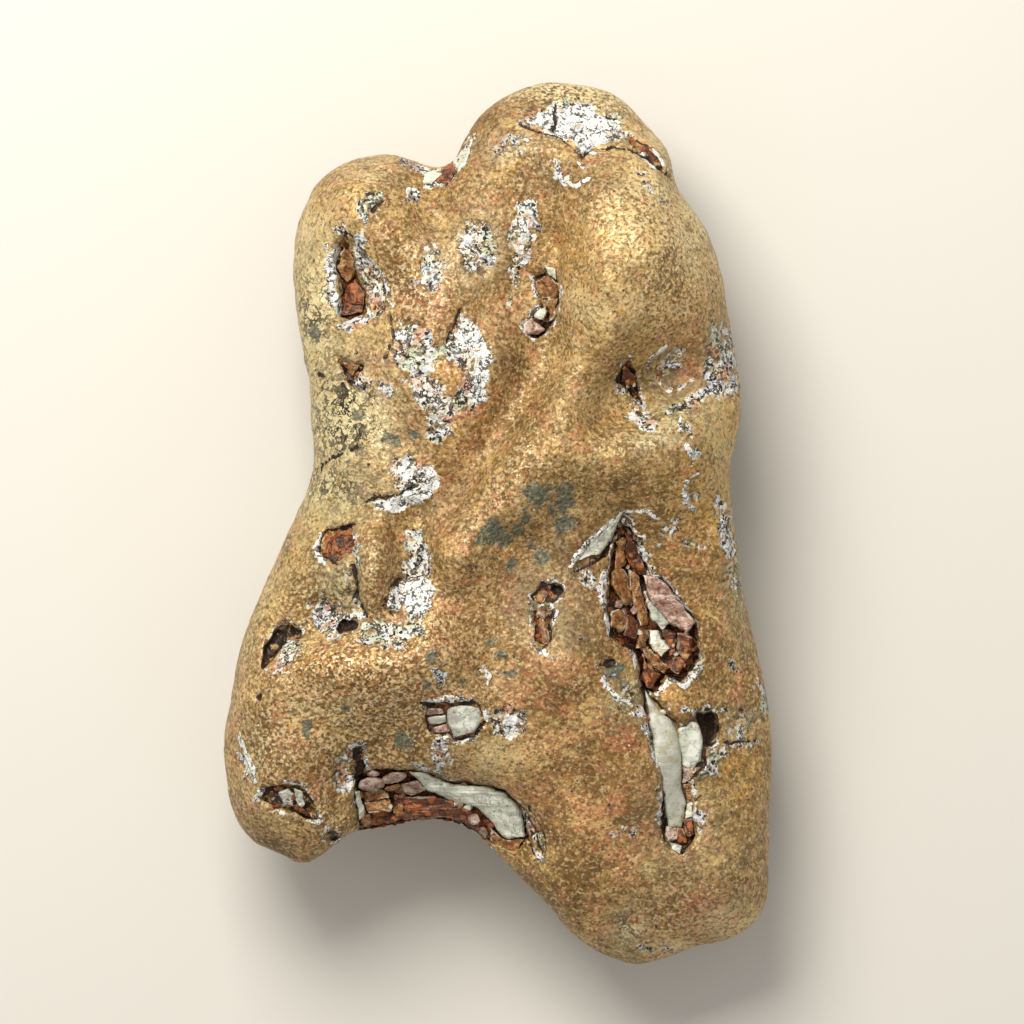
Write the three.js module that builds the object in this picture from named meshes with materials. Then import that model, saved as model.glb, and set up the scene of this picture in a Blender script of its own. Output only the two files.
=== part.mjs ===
// A water-worn domeykite nugget, lying on its back.
// Millimetres, +Z up, X across the width, Y along the length.
// The metal and the quartz grown through it are one solid mass, so the whole specimen is one closed mesh.

import * as THREE from 'three';
import { mergeVertices } from 'three/addons/utils/BufferGeometryUtils.js';

// Driving dimensions.
const LENGTH = 88.5;
const WIDTH = 54.8;
const RIM_HEIGHT = 12.5;
const FRONT_RISE = 12;
const BACK_DROP = 14;

// How round the mass is from rim to crown: 0.5 is an ellipse, and less is flatter on top with steeper sides.
const FRONT_ROUNDNESS = 0.37;
const BACK_ROUNDNESS = 0.4;

// Rows of triangles along each edge of the ball that the nugget is shaped from.
const DETAIL = 21;

// The outline seen from above, clockwise from the top lobe, about the middle of the length and width.
const OUTLINE = [
  [4.2, 44.4], [10.8, 43.3], [13.9, 40.9], [17.4, 36.8], [17.7, 34.1], [20.6, 29.8], [22.8, 21.4],
  [24.0, 12.2], [23.1, 4.2], [24.1, -5.2], [26.0, -14.2], [27.0, -18.6], [27.4, -25.2], [27.0, -33.4],
  [26.4, -38.9], [24.5, -41.5], [19.8, -42.8], [13.6, -44.4], [7.8, -41.8], [3.1, -36.7], [-3.2, -30.6],
  [-6.8, -29.8], [-11.2, -30.5], [-15.8, -31.6], [-18.7, -34.4], [-21.4, -33.7], [-25.6, -31.2],
  [-27.4, -23.6], [-25.7, -12.2], [-21.8, -2.4], [-18.6, 5.2], [-18.8, 12.2], [-20.6, 25.2],
  [-19.2, 32.8], [-16.9, 35.5], [-13.4, 36.7], [-10.0, 36.7], [-7.2, 35.9], [-5.0, 36.0], [-2.0, 40.8],
  [0.6, 42.9],
];

// A point inside the outline from which all of it can be seen, so that a radius follows from an angle.
const MIDDLE = new THREE.Vector2(-2, 0);

// Lobes and hollows on the upper face: where they are, half their length and width, the turn of the length
// from X in degrees, and how far they rise, or sink where negative.
const LOBES = [
  { name: 'left knob', at: [-14.5, 30.5], half: [7, 5.5], turn: 50, rise: 4.2 },
  { name: 'top lobe', at: [7, 40], half: [9, 4], turn: -10, rise: 1.4 },
  { name: 'upper middle swell', at: [-2.5, 28.5], half: [6, 4], turn: 80, rise: 2.0 },
  { name: 'right lobe', at: [14, 27], half: [9.5, 7.5], turn: -72, rise: 6.4 },
  { name: 'saddle above the right lobe', at: [8.5, 33], half: [5, 4], turn: 0, rise: 1.6 },
  { name: 'right hollow', at: [16, 13.5], half: [6.5, 3.8], turn: 20, rise: -4.4 },
  { name: 'swell under the hollow', at: [13.5, 7], half: [8, 3.8], turn: 10, rise: 3 },
  { name: 'left waist', at: [-17, 7], half: [7, 4], turn: 90, rise: -1.6 },
  { name: 'dip left of the groove', at: [-7, 15], half: [6, 5], turn: 0, rise: 0.8 },
  { name: 'middle dip', at: [9, -1.5], half: [11, 5], turn: -10, rise: -1.8 },
  { name: 'tongue beside the valley', at: [-12.6, -4], half: [4, 1.8], turn: 90, rise: 1.2 },
  { name: 'lower left crest', at: [-16, -15], half: [10, 5], turn: 8, rise: 4 },
  { name: 'dip under the crest', at: [-10, -23], half: [8, 5], turn: -15, rise: -1.4 },
  { name: 'left foot', at: [-22, -26], half: [7, 5], turn: 100, rise: 2.6 },
  { name: 'swell right of the slab bed', at: [6, -15], half: [6, 5], turn: 0, rise: 1.2 },
  { name: 'lower right swell', at: [11, -23], half: [12, 8], turn: -60, rise: 1.8 },
  { name: 'bottom tip', at: [17, -37], half: [9, 6], turn: 10, rise: 1.8 },
  { name: 'upper left pit', at: [-14.3, 24.2], half: [4.2, 2.4], turn: 105, rise: -2.2 },
];

// Ridges and grooves on the upper face: the line they follow, half their width, and their rise.
const RIDGES = [
  { name: 'brow under the top lobe', along: [[-5, 34.5], [2, 37.4], [8, 36], [14, 35.8], [18, 33]], half: 2.4,
    rise: 1.3 },
  { name: 'notch beside the knob', along: [[-7, 36.5], [-6.5, 30.5]], half: 2.2, rise: -2.4 },
  { name: 'groove', along: [[5.4, 27.5], [5.6, 20.5], [3.6, 15], [0.6, 9.5], [-4.4, 3.8]], half: 2.4,
    rise: -2.4 },
  { name: 'long ridge', along: [[9.6, 25], [9.2, 15.5], [6, 8.5], [1, 2], [-4, -3.5]], half: 3.2, rise: 1.8 },
  { name: 'left valley', along: [[-8.2, 0.8], [-8.4, -6], [-11, -9.8], [-16, -9.8], [-21.5, -12]], half: 2,
    rise: -2.4 },
  { name: 'main cavity', along: [[12.3, -0.5], [12.8, -6], [15.6, -11], [16, -15]], half: 2.2, rise: -2.2 },
  { name: 'lower slot', along: [[15.4, -18], [17.2, -24], [18.6, -31]], half: 1.7, rise: -1.4 },
  { name: 'bottom notch', along: [[-13, -27.5], [-7, -26.5], [-1, -27.5], [3, -32]], half: 2.8, rise: -3 },
];

// Broad lobes and hollows on the underside, given as on the upper face; a positive rise is towards the
// ground.
const BACK_LOBES = [
  { name: 'heel', at: [12, -26], half: [12, 9], turn: -60, rise: 2.5 },
  { name: 'shoulder', at: [4, 26], half: [13, 9], turn: 70, rise: 2.5 },
  { name: 'left heel', at: [-16, -14], half: [9, 6], turn: 70, rise: 2.5 },
  { name: 'back hollow', at: [20, 2], half: [10, 5], turn: 90, rise: -3.5 },
  { name: 'back waist', at: [-14, 10], half: [8, 5], turn: 90, rise: -3 },
  { name: 'back notch', at: [-6, -27], half: [6, 4], turn: 0, rise: -4 },
];

// How the rim wanders up and down round the nugget: waves in one turn round it, their height and their shift.
const RIM_WAVES = [
  { count: 2, height: 1.5, shift: 1.2 },
  { count: 3, height: 1.1, shift: 0.8 },
  { count: 7, height: 0.5, shift: 0 },
];

// Gentle unevenness that every worn surface keeps: the height of each wave, how fast it runs along X, Y and
// Z in radians per millimetre, and its shift.
const SURFACE_WAVES = [
  { height: 0.45, along: [0.31, 0.17, 0], shift: 1.2 },
  { height: 0.35, along: [-0.36, 0.23, 0.2], shift: -0.1 },
  { height: 0.25, along: [0.55, 0.48, -0.3], shift: 1.6 },
  { height: 0.2, along: [-0.5, 0.71, 0], shift: -0.6 },
];

// How the relief of each face fades in from the rim, by height on the unit ball: none at the first height,
// all of it at the second.
const UPPER_FADE = [-0.1, 0.42];
const LOWER_FADE = [-0.1, 0.5];

// The rim's waves and the outline's knobs die out towards the crown: the share of the waves lost there, and
// how sharply the knobs are kept to the rim.
const WAVES_LOST = 0.75;
const KNOB_SHARPNESS = 5;

// The knobs are evened out over this angle to each side, in radians, by this many samples in all.
const EVEN_REACH = 0.4;
const EVEN_SAMPLES = 5;

// Places at which the outline's curve is measured.
const OUTLINE_STEPS = 1440;

const { clamp, degToRad, lerp, smoothstep } = THREE.MathUtils;

// The outline's radius from MIDDLE at any angle, from a smooth closed curve through its points.
function makeOutlineRadius() {
  const points = OUTLINE.map(([x, y]) => new THREE.Vector3(x, y, 0));
  const curve = new THREE.CatmullRomCurve3(points, true, 'centripetal');
  const rays = curve.getPoints(OUTLINE_STEPS).slice(0, OUTLINE_STEPS).map((p) => {
    const dx = p.x - MIDDLE.x;
    const dy = p.y - MIDDLE.y;
    return { angle: Math.atan2(dy, dx), radius: Math.hypot(dx, dy) };
  });
  rays.sort((a, b) => a.angle - b.angle);
  return (angle) => {
    let after = rays.findIndex((ray) => ray.angle > angle);
    if (after === -1) after = 0;
    const next = rays[after];
    const last = rays[(after + OUTLINE_STEPS - 1) % OUTLINE_STEPS];
    const turn = Math.PI * 2;
    const span = (next.angle - last.angle + turn) % turn;
    const share = ((angle - last.angle + turn) % turn) / span;
    return lerp(last.radius, next.radius, share);
  };
}

const outlineRadius = makeOutlineRadius();

// The outline with its knobs and notches evened out, which the heights follow away from the rim.
function evenRadius(angle) {
  let sum = 0;
  for (let i = 0; i < EVEN_SAMPLES; i += 1) {
    const near = angle + EVEN_REACH * ((2 * i) / (EVEN_SAMPLES - 1) - 1);
    sum += outlineRadius(Math.atan2(Math.sin(near), Math.cos(near)));
  }
  return sum / EVEN_SAMPLES;
}

// A round hill: 1 at its middle, and about a third at its half sizes.
function hill(x, y, { at, half, turn }) {
  const angle = degToRad(turn);
  const dx = x - at[0];
  const dy = y - at[1];
  const along = (dx * Math.cos(angle) + dy * Math.sin(angle)) / half[0];
  const across = (dy * Math.cos(angle) - dx * Math.sin(angle)) / half[1];
  return Math.exp(-(along * along + across * across));
}

// The distance from a point to a line of joined straight stretches.
function distanceToPath(x, y, along) {
  let nearest = Infinity;
  for (let i = 1; i < along.length; i += 1) {
    const [ax, ay] = along[i - 1];
    const dx = along[i][0] - ax;
    const dy = along[i][1] - ay;
    const share = clamp(((x - ax) * dx + (y - ay) * dy) / (dx * dx + dy * dy), 0, 1);
    nearest = Math.min(nearest, Math.hypot(x - ax - share * dx, y - ay - share * dy));
  }
  return nearest;
}

function lobeHeight(lobes, x, y) {
  return lobes.reduce((sum, lobe) => sum + lobe.rise * hill(x, y, lobe), 0);
}

function ridgeHeight(x, y) {
  return RIDGES.reduce((sum, ridge) => {
    const away = distanceToPath(x, y, ridge.along) / ridge.half;
    return sum + ridge.rise * Math.exp(-away * away);
  }, 0);
}

function undulation(x, y, z) {
  return SURFACE_WAVES.reduce((sum, { height, along, shift }) => (
    sum + height * Math.cos(along[0] * x + along[1] * y + along[2] * z - shift)
  ), 0);
}

function rimHeight(angle) {
  return RIM_WAVES.reduce((sum, { count, height, shift }) => (
    sum + height * Math.cos(count * angle - shift)
  ), RIM_HEIGHT);
}

// Moves one point of the unit ball to its place on the nugget.
function place(ball) {
  const angle = Math.atan2(ball.y, ball.x);
  const share = Math.hypot(ball.x, ball.y);
  const edge = outlineRadius(angle);
  const x = MIDDLE.x + edge * share * Math.cos(angle);
  const y = MIDDLE.y + edge * share * Math.sin(angle);
  const even = share * (edge / evenRadius(angle)) ** (1 - share ** KNOB_SHARPNESS);
  const open = Math.max(0, 1 - even * even);
  const upper = smoothstep(ball.z, ...UPPER_FADE);
  const lower = smoothstep(-ball.z, ...LOWER_FADE);
  let z = lerp(rimHeight(angle), RIM_HEIGHT, WAVES_LOST * open);
  z += ball.z > 0 ? FRONT_RISE * open ** FRONT_ROUNDNESS : -BACK_DROP * open ** BACK_ROUNDNESS;
  z += upper * (lobeHeight(LOBES, x, y) + ridgeHeight(x, y));
  z -= lower * lobeHeight(BACK_LOBES, x, y);
  z += undulation(x, y, z) * Math.max(upper, lower);
  return new THREE.Vector3(x, y, z);
}

// Shapes the ball into the nugget, and wears flat whatever would reach below the ground it lies on.
function nuggetGeometry() {
  const ball = new THREE.IcosahedronGeometry(1, DETAIL);
  ball.deleteAttribute('normal');
  ball.deleteAttribute('uv');
  const geometry = mergeVertices(ball, 1e-5);
  const position = geometry.attributes.position;
  for (let i = 0; i < position.count; i += 1) {
    const { x, y, z } = place(new THREE.Vector3().fromBufferAttribute(position, i));
    position.setXYZ(i, x, y, Math.max(z, 0));
  }
  geometry.computeBoundingBox();
  const box = geometry.boundingBox;
  const middle = box.getCenter(new THREE.Vector3());
  const size = box.getSize(new THREE.Vector3());
  geometry.translate(-middle.x, -middle.y, -box.min.z);
  geometry.scale(WIDTH / size.x, LENGTH / size.y, 1);
  geometry.computeVertexNormals();
  return geometry;
}

const nugget = new THREE.Mesh(
  nuggetGeometry(),
  new THREE.MeshStandardMaterial({ color: 0xb08a55, roughness: 0.42, metalness: 0.6 }),
);
nugget.name = 'nugget';

const specimen = new THREE.Group();
specimen.add(nugget);

export default specimen;
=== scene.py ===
import math
import random

import bmesh
import bpy
import numpy as np
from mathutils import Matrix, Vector, noise
from mathutils.bvhtree import BVHTree
from mathutils.geometry import tessellate_polygon


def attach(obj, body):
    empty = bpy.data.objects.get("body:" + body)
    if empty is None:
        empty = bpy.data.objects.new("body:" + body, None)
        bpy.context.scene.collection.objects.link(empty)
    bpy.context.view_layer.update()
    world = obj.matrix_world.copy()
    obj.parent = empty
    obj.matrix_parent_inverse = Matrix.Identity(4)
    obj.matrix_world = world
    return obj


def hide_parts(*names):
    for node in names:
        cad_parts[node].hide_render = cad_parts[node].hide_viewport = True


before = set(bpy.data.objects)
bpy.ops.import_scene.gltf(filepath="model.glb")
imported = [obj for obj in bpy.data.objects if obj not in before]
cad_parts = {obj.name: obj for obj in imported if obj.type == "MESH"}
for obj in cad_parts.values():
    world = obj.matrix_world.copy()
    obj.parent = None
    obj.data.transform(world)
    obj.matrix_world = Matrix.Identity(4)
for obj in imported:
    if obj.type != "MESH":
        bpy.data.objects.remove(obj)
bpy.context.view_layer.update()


# --- The mass of the nugget -----------------------------------------------------------------------
# One lump of domeykite, a copper arsenide, grown as a solid mass in a vein of quartz, then rolled smooth in
# water for a long time. Everything here is in millimetres until the mesh is made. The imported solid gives
# its shape, and its flats between corners are rounded out before anything is carved.

MM = 0.001
LONGEST_EDGE_CARVING = 0.85
LONGEST_EDGE_FRONT = 0.62
LONGEST_EDGE_SIDES = 1.1
LONGEST_EDGE_UNDERSIDE = 2.4
EVENING_ROUNDS = 20


def corners_and_faces(solid):
    """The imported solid's corners in millimetres and its triangles, with doubled corners made one."""
    shape = bmesh.new()
    shape.from_mesh(solid.data)
    bmesh.ops.remove_doubles(shape, verts=shape.verts, dist=1e-6)
    bmesh.ops.triangulate(shape, faces=shape.faces)
    shape.verts.ensure_lookup_table()
    points = np.array([v.co[:] for v in shape.verts]) / MM
    faces = np.array([[v.index for v in f.verts] for f in shape.faces])
    shape.free()
    return points, faces


def outward(points, faces):
    """The outward direction at each corner."""
    a, b, c = (points[faces[:, k]] for k in range(3))
    across = np.cross(b - a, c - a)
    summed = np.zeros_like(points)
    for k in range(3):
        for axis in range(3):
            summed[:, axis] += np.bincount(faces[:, k], across[:, axis], len(points))
    return summed / np.maximum(np.linalg.norm(summed, axis=1, keepdims=True), 1e-12)


def split_long_edges(points, faces, longest, rounded=1.0):
    """Splits each edge longer than longest(middle, outward), its new corner on the rounded surface."""
    out = outward(points, faces)
    sides = np.sort(np.stack([faces, np.roll(faces, -1, axis=1)], axis=2).reshape(-1, 2), axis=1)
    edges, edge_of = np.unique(sides, axis=0, return_inverse=True)
    edge_of = edge_of.reshape(-1, 3)
    a, b = points[edges[:, 0]], points[edges[:, 1]]
    out_a, out_b = out[edges[:, 0]], out[edges[:, 1]]
    along = b - a
    bulge_a, bulge_b = (np.sum(way * along, 1, keepdims=True) * way for way in (out_a, out_b))
    middle = (a + b) / 2 + (bulge_b - bulge_a) / 8 * rounded
    split = np.linalg.norm(along, axis=1) > longest(middle, out_a + out_b)
    new_corner = np.full(len(edges), -1)
    new_corner[split] = len(points) + np.arange(split.sum())
    points = np.concatenate([points, middle[split]])
    mids = new_corner[edge_of]
    count = (mids >= 0).sum(axis=1)
    # Turned so that one split edge comes first, and two split edges come first and second.
    first = np.where(count == 1, np.argmax(mids >= 0, axis=1), 0)
    first = np.where(count == 2, (np.argmin(mids >= 0, axis=1) + 1) % 3, first)
    order = (first[:, None] + np.arange(3)) % 3
    corner = np.take_along_axis(faces, order, axis=1)
    mid = np.take_along_axis(mids, order, axis=1)
    p, q, r = corner.T
    pq, qr, rp = mid.T
    one, two, three = count == 1, count == 2, count == 3
    across, back = (np.linalg.norm(points[i] - points[j], axis=1) for i, j in ((p, qr), (pq, r)))
    near, far = two & (across < back), two & (across >= back)
    made = [
        (count == 0, (p, q, r)),
        (one, (p, pq, r)), (one, (pq, q, r)),
        (two, (pq, q, qr)),
        (near, (p, pq, qr)), (near, (p, qr, r)),
        (far, (p, pq, r)), (far, (pq, qr, r)),
        (three, (p, pq, rp)), (three, (pq, q, qr)), (three, (rp, qr, r)), (three, (pq, qr, rp)),
    ]
    return points, np.concatenate([np.stack(triple, axis=1)[chosen] for chosen, triple in made])


def relax(points, faces, rounds, shrink=0.5, grow=-0.52):
    """Evens out the corners, drawn in and then out again each round, so that the mass keeps its size."""
    links = np.concatenate([faces[:, [0, 1]], faces[:, [1, 2]], faces[:, [2, 0]]])
    number = np.bincount(links[:, 0], minlength=len(points))[:, None]
    for step in [shrink, grow] * rounds:
        summed = [np.bincount(links[:, 0], along[links[:, 1]], len(points)) for along in points.T]
        points = points + step * (np.stack(summed, 1) / number - points)
    return points


def smooth(low, high, x):
    """0 below low, 1 above high, and an even S between."""
    share = np.clip((x - low) / (high - low), 0, 1)
    return share * share * (3 - 2 * share)


def lumps(points, size, layers=1, seed=0):
    """Uneven ground from about -1 to 1 whose lumps are size millimetres across, with finer layers on top."""
    shift = Vector((seed * 17.3, seed * -9.1, seed * 5.7))
    return np.array([noise.fractal(Vector(p) / size + shift, 1.0, 2.0, layers) for p in points.tolist()])


points, faces = corners_and_faces(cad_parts["nugget"])
for _ in range(2):
    points, faces = split_long_edges(points, faces, lambda middle, out: LONGEST_EDGE_CARVING)
points = relax(points, faces, 3, grow=0)
points = relax(points, faces, EVENING_ROUNDS)


# --- The cavities where the vein broke out --------------------------------------------------------
# Quartz and rusty vein rock were plucked out of the mass in the stream, and left angular cavities with
# sharp lips. They are seen from above, so each is an outline in X and Y that is sunk straight down.

FAR = 2.0


def oval(x, y, long, wide, turn=0.0, count=14):
    """An oval outline about a middle, from its half length and width, turned from X in degrees."""
    c, s = math.cos(math.radians(turn)), math.sin(math.radians(turn))
    steps = [2 * math.pi * k / count for k in range(count)]
    unturned = [(long * math.cos(step), wide * math.sin(step)) for step in steps]
    return [(x + u * c - v * s, y + u * s + v * c) for u, v in unturned]


def from_line(path, x, y):
    """The distance from each place to a line of joined straight stretches."""
    nearest = np.full(len(x), np.inf)
    for (x0, y0), (x1, y1) in zip(path, path[1:]):
        dx, dy = x1 - x0, y1 - y0
        share = np.clip(((x - x0) * dx + (y - y0) * dy) / (dx * dx + dy * dy), 0, 1)
        nearest = np.minimum(nearest, np.hypot(x - x0 - share * dx, y - y0 - share * dy))
    return nearest


def from_outline(outline, x, y):
    """The distance from each place to a closed outline, negative inside it, and never told beyond FAR."""
    xs, ys = zip(*outline)
    close = (x > min(xs) - FAR) & (x < max(xs) + FAR) & (y > min(ys) - FAR) & (y < max(ys) + FAR)
    x, y = x[close], y[close]
    inside = np.zeros(len(x), bool)
    for (x0, y0), (x1, y1) in zip(outline, outline[1:] + outline[:1]):
        crossed = (y0 > y) != (y1 > y)
        inside ^= crossed & (x < x0 + (x1 - x0) * (y - y0) / (y1 - y0 if y1 != y0 else 1))
    edge = from_line(outline + outline[:1], x, y)
    distance = np.full(len(close), FAR)
    distance[close] = np.minimum(np.where(inside, -edge, edge), FAR)
    return distance


def hill(x, y, at_x, at_y, long, wide, turn=0.0):
    """A round hill: 1 at its middle, and about a third at its half length and half width."""
    angle = math.radians(turn)
    dx, dy = x - at_x, y - at_y
    along = (dx * math.cos(angle) + dy * math.sin(angle)) / long
    across = (dy * math.cos(angle) - dx * math.sin(angle)) / wide
    return np.exp(-(along ** 2 + across ** 2))


# Outline, depth, width of the wall from lip to floor, share of rust on the floor, share of dark soot and
# painted shade on the floor, and share of pale quartz left along the lip.
CAVITIES = {
    "upper left pit": ([(-15.4, 29), (-14.8, 27.2), (-14.4, 25), (-13.3, 22.8), (-13.3, 20.6),
        (-14.2, 20.3), (-15.9, 20.3), (-15.7, 23), (-16.4, 25.8)], 1.4, 0.7, 0.95, 0.1, 0.6),
    "gap beside the shelf": ([(12.7, 38.9), (14, 38.2), (15.4, 37), (16.9, 34.8), (15.6, 35.6),
        (14.4, 36.9), (13, 37.6)], 0.5, 0.5, 0.9, 0.15, 0.5),
    "left waist pit": ([(-16.4, 16.3), (-13.2, 15.5), (-14.4, 13)], 1.1, 0.5, 0.6, 0.5, 0),
    "three cornered pit": ([(12.9, 16.1), (11.6, 14), (14.5, 11.3), (13.8, 13.7)], 1.4, 0.5, 1, 0.4, 0.4),
    "blocky pit": ([(3.4, 24.4), (5.2, 25), (6.4, 23), (5.2, 19.6), (3.6, 18.4), (2.4, 19.4), (4.4, 21.4)],
        0.9, 0.5, 0.5, 0.3, 0.4),
    "round pit": ([(-17.9, -1.8), (-17, -0.8), (-14.2, -0.4), (-14.4, -3.2), (-16.2, -4.2), (-17.6, -3.6)],
        1.1, 0.5, 0.72, 0.35, 0.25),
    "valley pit": (oval(-15, -10.4, 1, 0.6, 15), 1.2, 0.4, 0, 0.9, 0.6),
    "foot crescent": ([(-23.5, -14.6), (-23.3, -12.7), (-22.2, -10.9), (-21, -10.3), (-19.6, -10.9),
        (-19.6, -11.7), (-20.9, -11.6), (-21.7, -12.4), (-22.5, -13.8)], 1.2, 0.5, 0, 0.75, 0.35),
    "heel pit": (oval(-23.8, -17.4, 0.35, 0.3), 0.5, 0.4, 0, 0.8, 0.2),
    "main cavity, upper arm": ([(12.3, 0.6), (13.4, -1.6), (15, -5.4), (13.6, -9.4), (10.8, -8.6), (11, -5),
        (11.4, -2.6)], 1.9, 0.7, 0.7, 0.4, 0.5),
    "main cavity, left arm": ([(12, 0.2), (10.8, -3.2), (7.6, -4.6), (7.4, -4), (9.4, -1.6)], 0.8, 0.5, 0,
        0.2, 0.4),
    "main cavity, body": ([(13.6, -5.4), (16.2, -5.8), (19.5, -10), (19.8, -13.4), (18.2, -15.8),
        (16.6, -15.2), (15.6, -17), (14.4, -16.8), (13.6, -13.2), (11.2, -11.4), (10.8, -8.6)], 2, 0.8,
        0.95, 0.15, 0.6),
    "small cavity": ([(3.1, -9), (4.2, -8.4), (5.5, -8.9), (5, -10.2), (5.3, -11.4), (4.4, -12.9),
        (3.5, -12), (3.7, -10.4)], 0.8, 0.5, 0.7, 0.3, 0.6),
    "small cavity, head": ([(3.2, -7.4), (4.2, -6.2), (5.6, -6.1), (6.2, -7), (5.4, -8), (3.6, -8.1)], 0.5,
        0.5, 0.5, 0.3, 0.5),
    "small cavity, hole": (oval(5.8, -6.7, 0.6, 0.35, -50), 1.4, 0.4, 0, 0.9, 0.5),
    "pit by the main cavity": (oval(10.8, -14.2, 0.7, 0.4, 10), 0.8, 0.4, 0, 0.8, 0.3),
    "lower slot": ([(14.4, -16.6), (16.2, -18.4), (18.2, -20.6), (18.8, -25.6), (19.4, -31.4),
        (18.2, -33.2), (16.4, -31.8), (16.2, -26.4), (15, -21.2)], 1.3, 0.6, 0.5, 0.25, 0.5),
    "slot hole": ([(19.7, -19.2), (21.3, -19.2), (22, -20.6), (21.6, -22.2), (20.6, -22.6), (20, -21)], 2.2,
        0.4, 0.1, 0.95, 0.6),
    "slot, stone's bed": ([(17.8, -20.4), (19.6, -19.6), (20.4, -21.6), (20.2, -24.4), (18.6, -24.8)], 0.9,
        0.4, 0.3, 0.8, 0.2),
    "slab bed": ([(-7.4, -18.3), (-5.4, -18.1), (-2, -18.2), (-1.3, -19.8), (-2.4, -21.2), (-4.4, -21.7),
        (-6.9, -21)], 0.55, 0.5, 0.7, 0.2, 0.6),
    "foot pit": ([(-14.6, -22.6), (-13.7, -22.4), (-13.4, -24.6), (-13.7, -26.8), (-14.3, -26.6),
        (-14.2, -24.4)], 1.3, 0.4, 0.1, 0.8, 0.6),
    "foot cavity": ([(-24, -27.5), (-22.4, -26.2), (-19.8, -26.2), (-18.8, -27.6), (-18, -29.8),
        (-20.2, -28.9), (-22.4, -28.6)], 1.2, 0.5, 0.5, 0.5, 0.6),
    "bottom notch": ([(-14.2, -25.4), (-11.6, -24.6), (-8.4, -24.6), (-4.4, -26), (0.6, -26.7),
        (2.1, -28.8), (2.9, -31.4), (2.1, -32.6), (0.2, -32.4), (-3.4, -31.6), (-14, -31.6)], 2.1, 0.8,
        0.95, 0.2, 0.3),
    "toe of the notch": (oval(-16.6, -31.4, 0.7, 0.6), 1, 0.5, 0.2, 0.6, 0.5),
}
# How outlines are broken up: size of the bends in millimetres, how far they reach, and their seed.
LIP_WAVER = 1.3, 0.28, 3
# The rim of the upper face lies between these heights.
RIM_LOW, RIM_HIGH = 6.0, 9.0
# Before the cavities are carved, edges may be this many times longer.
COARSER_FIRST = 1.4


def facing_up(points, out):
    """1 where the surface faces the sky, 0 where it faces down or stands up straight below the rim."""
    return smooth(-0.05, 0.15, out[:, 2]) * smooth(RIM_LOW, RIM_HIGH, points[:, 2])


def wavered(points, size, reach, seed):
    """X and Y of each place moved a little, so that an outline drawn through them comes out broken."""
    return [points[:, axis] + reach * lumps(points, size, 2, seed + axis) for axis in (0, 1)]


def cavity_depths(points, out):
    """How deep each place is sunk by the cavities."""
    x, y = wavered(points, *LIP_WAVER)
    depth = np.zeros(len(points))
    for outline, deep, wall, *_ in CAVITIES.values():
        depth = np.maximum(depth, deep * smooth(wall * 0.5, -wall * 0.5, from_outline(outline, x, y)))
    return depth * facing_up(points, out)


def longest_edge(middle, out):
    """The longest edge wanted at a place: finest on the upper face, coarsest underneath."""
    up = out[:, 2] / np.maximum(np.linalg.norm(out, axis=1), 1e-12)
    upper = np.where((middle[:, 2] > RIM_HIGH) & (up > 0.05), LONGEST_EDGE_FRONT, LONGEST_EDGE_SIDES)
    return np.where(up < -0.45, LONGEST_EDGE_UNDERSIDE, upper)


points, faces = split_long_edges(points, faces, lambda middle, out: longest_edge(middle, out) * COARSER_FIRST)
points = relax(points, faces, 3)
whole = BVHTree.FromPolygons(points.tolist(), faces.tolist())
points[:, 2] -= cavity_depths(points, outward(points, faces))
for _ in range(2):
    points, faces = split_long_edges(points, faces, longest_edge)
points = relax(points, faces, 1)


# --- The skin -------------------------------------------------------------------------------------
# The worn outside of the lump. Sugary quartz shows where the stream wore through to the vein, in patches
# that lie a little lower than the metal and are rougher. The metal between them is undulating and finely
# pitted.

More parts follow.
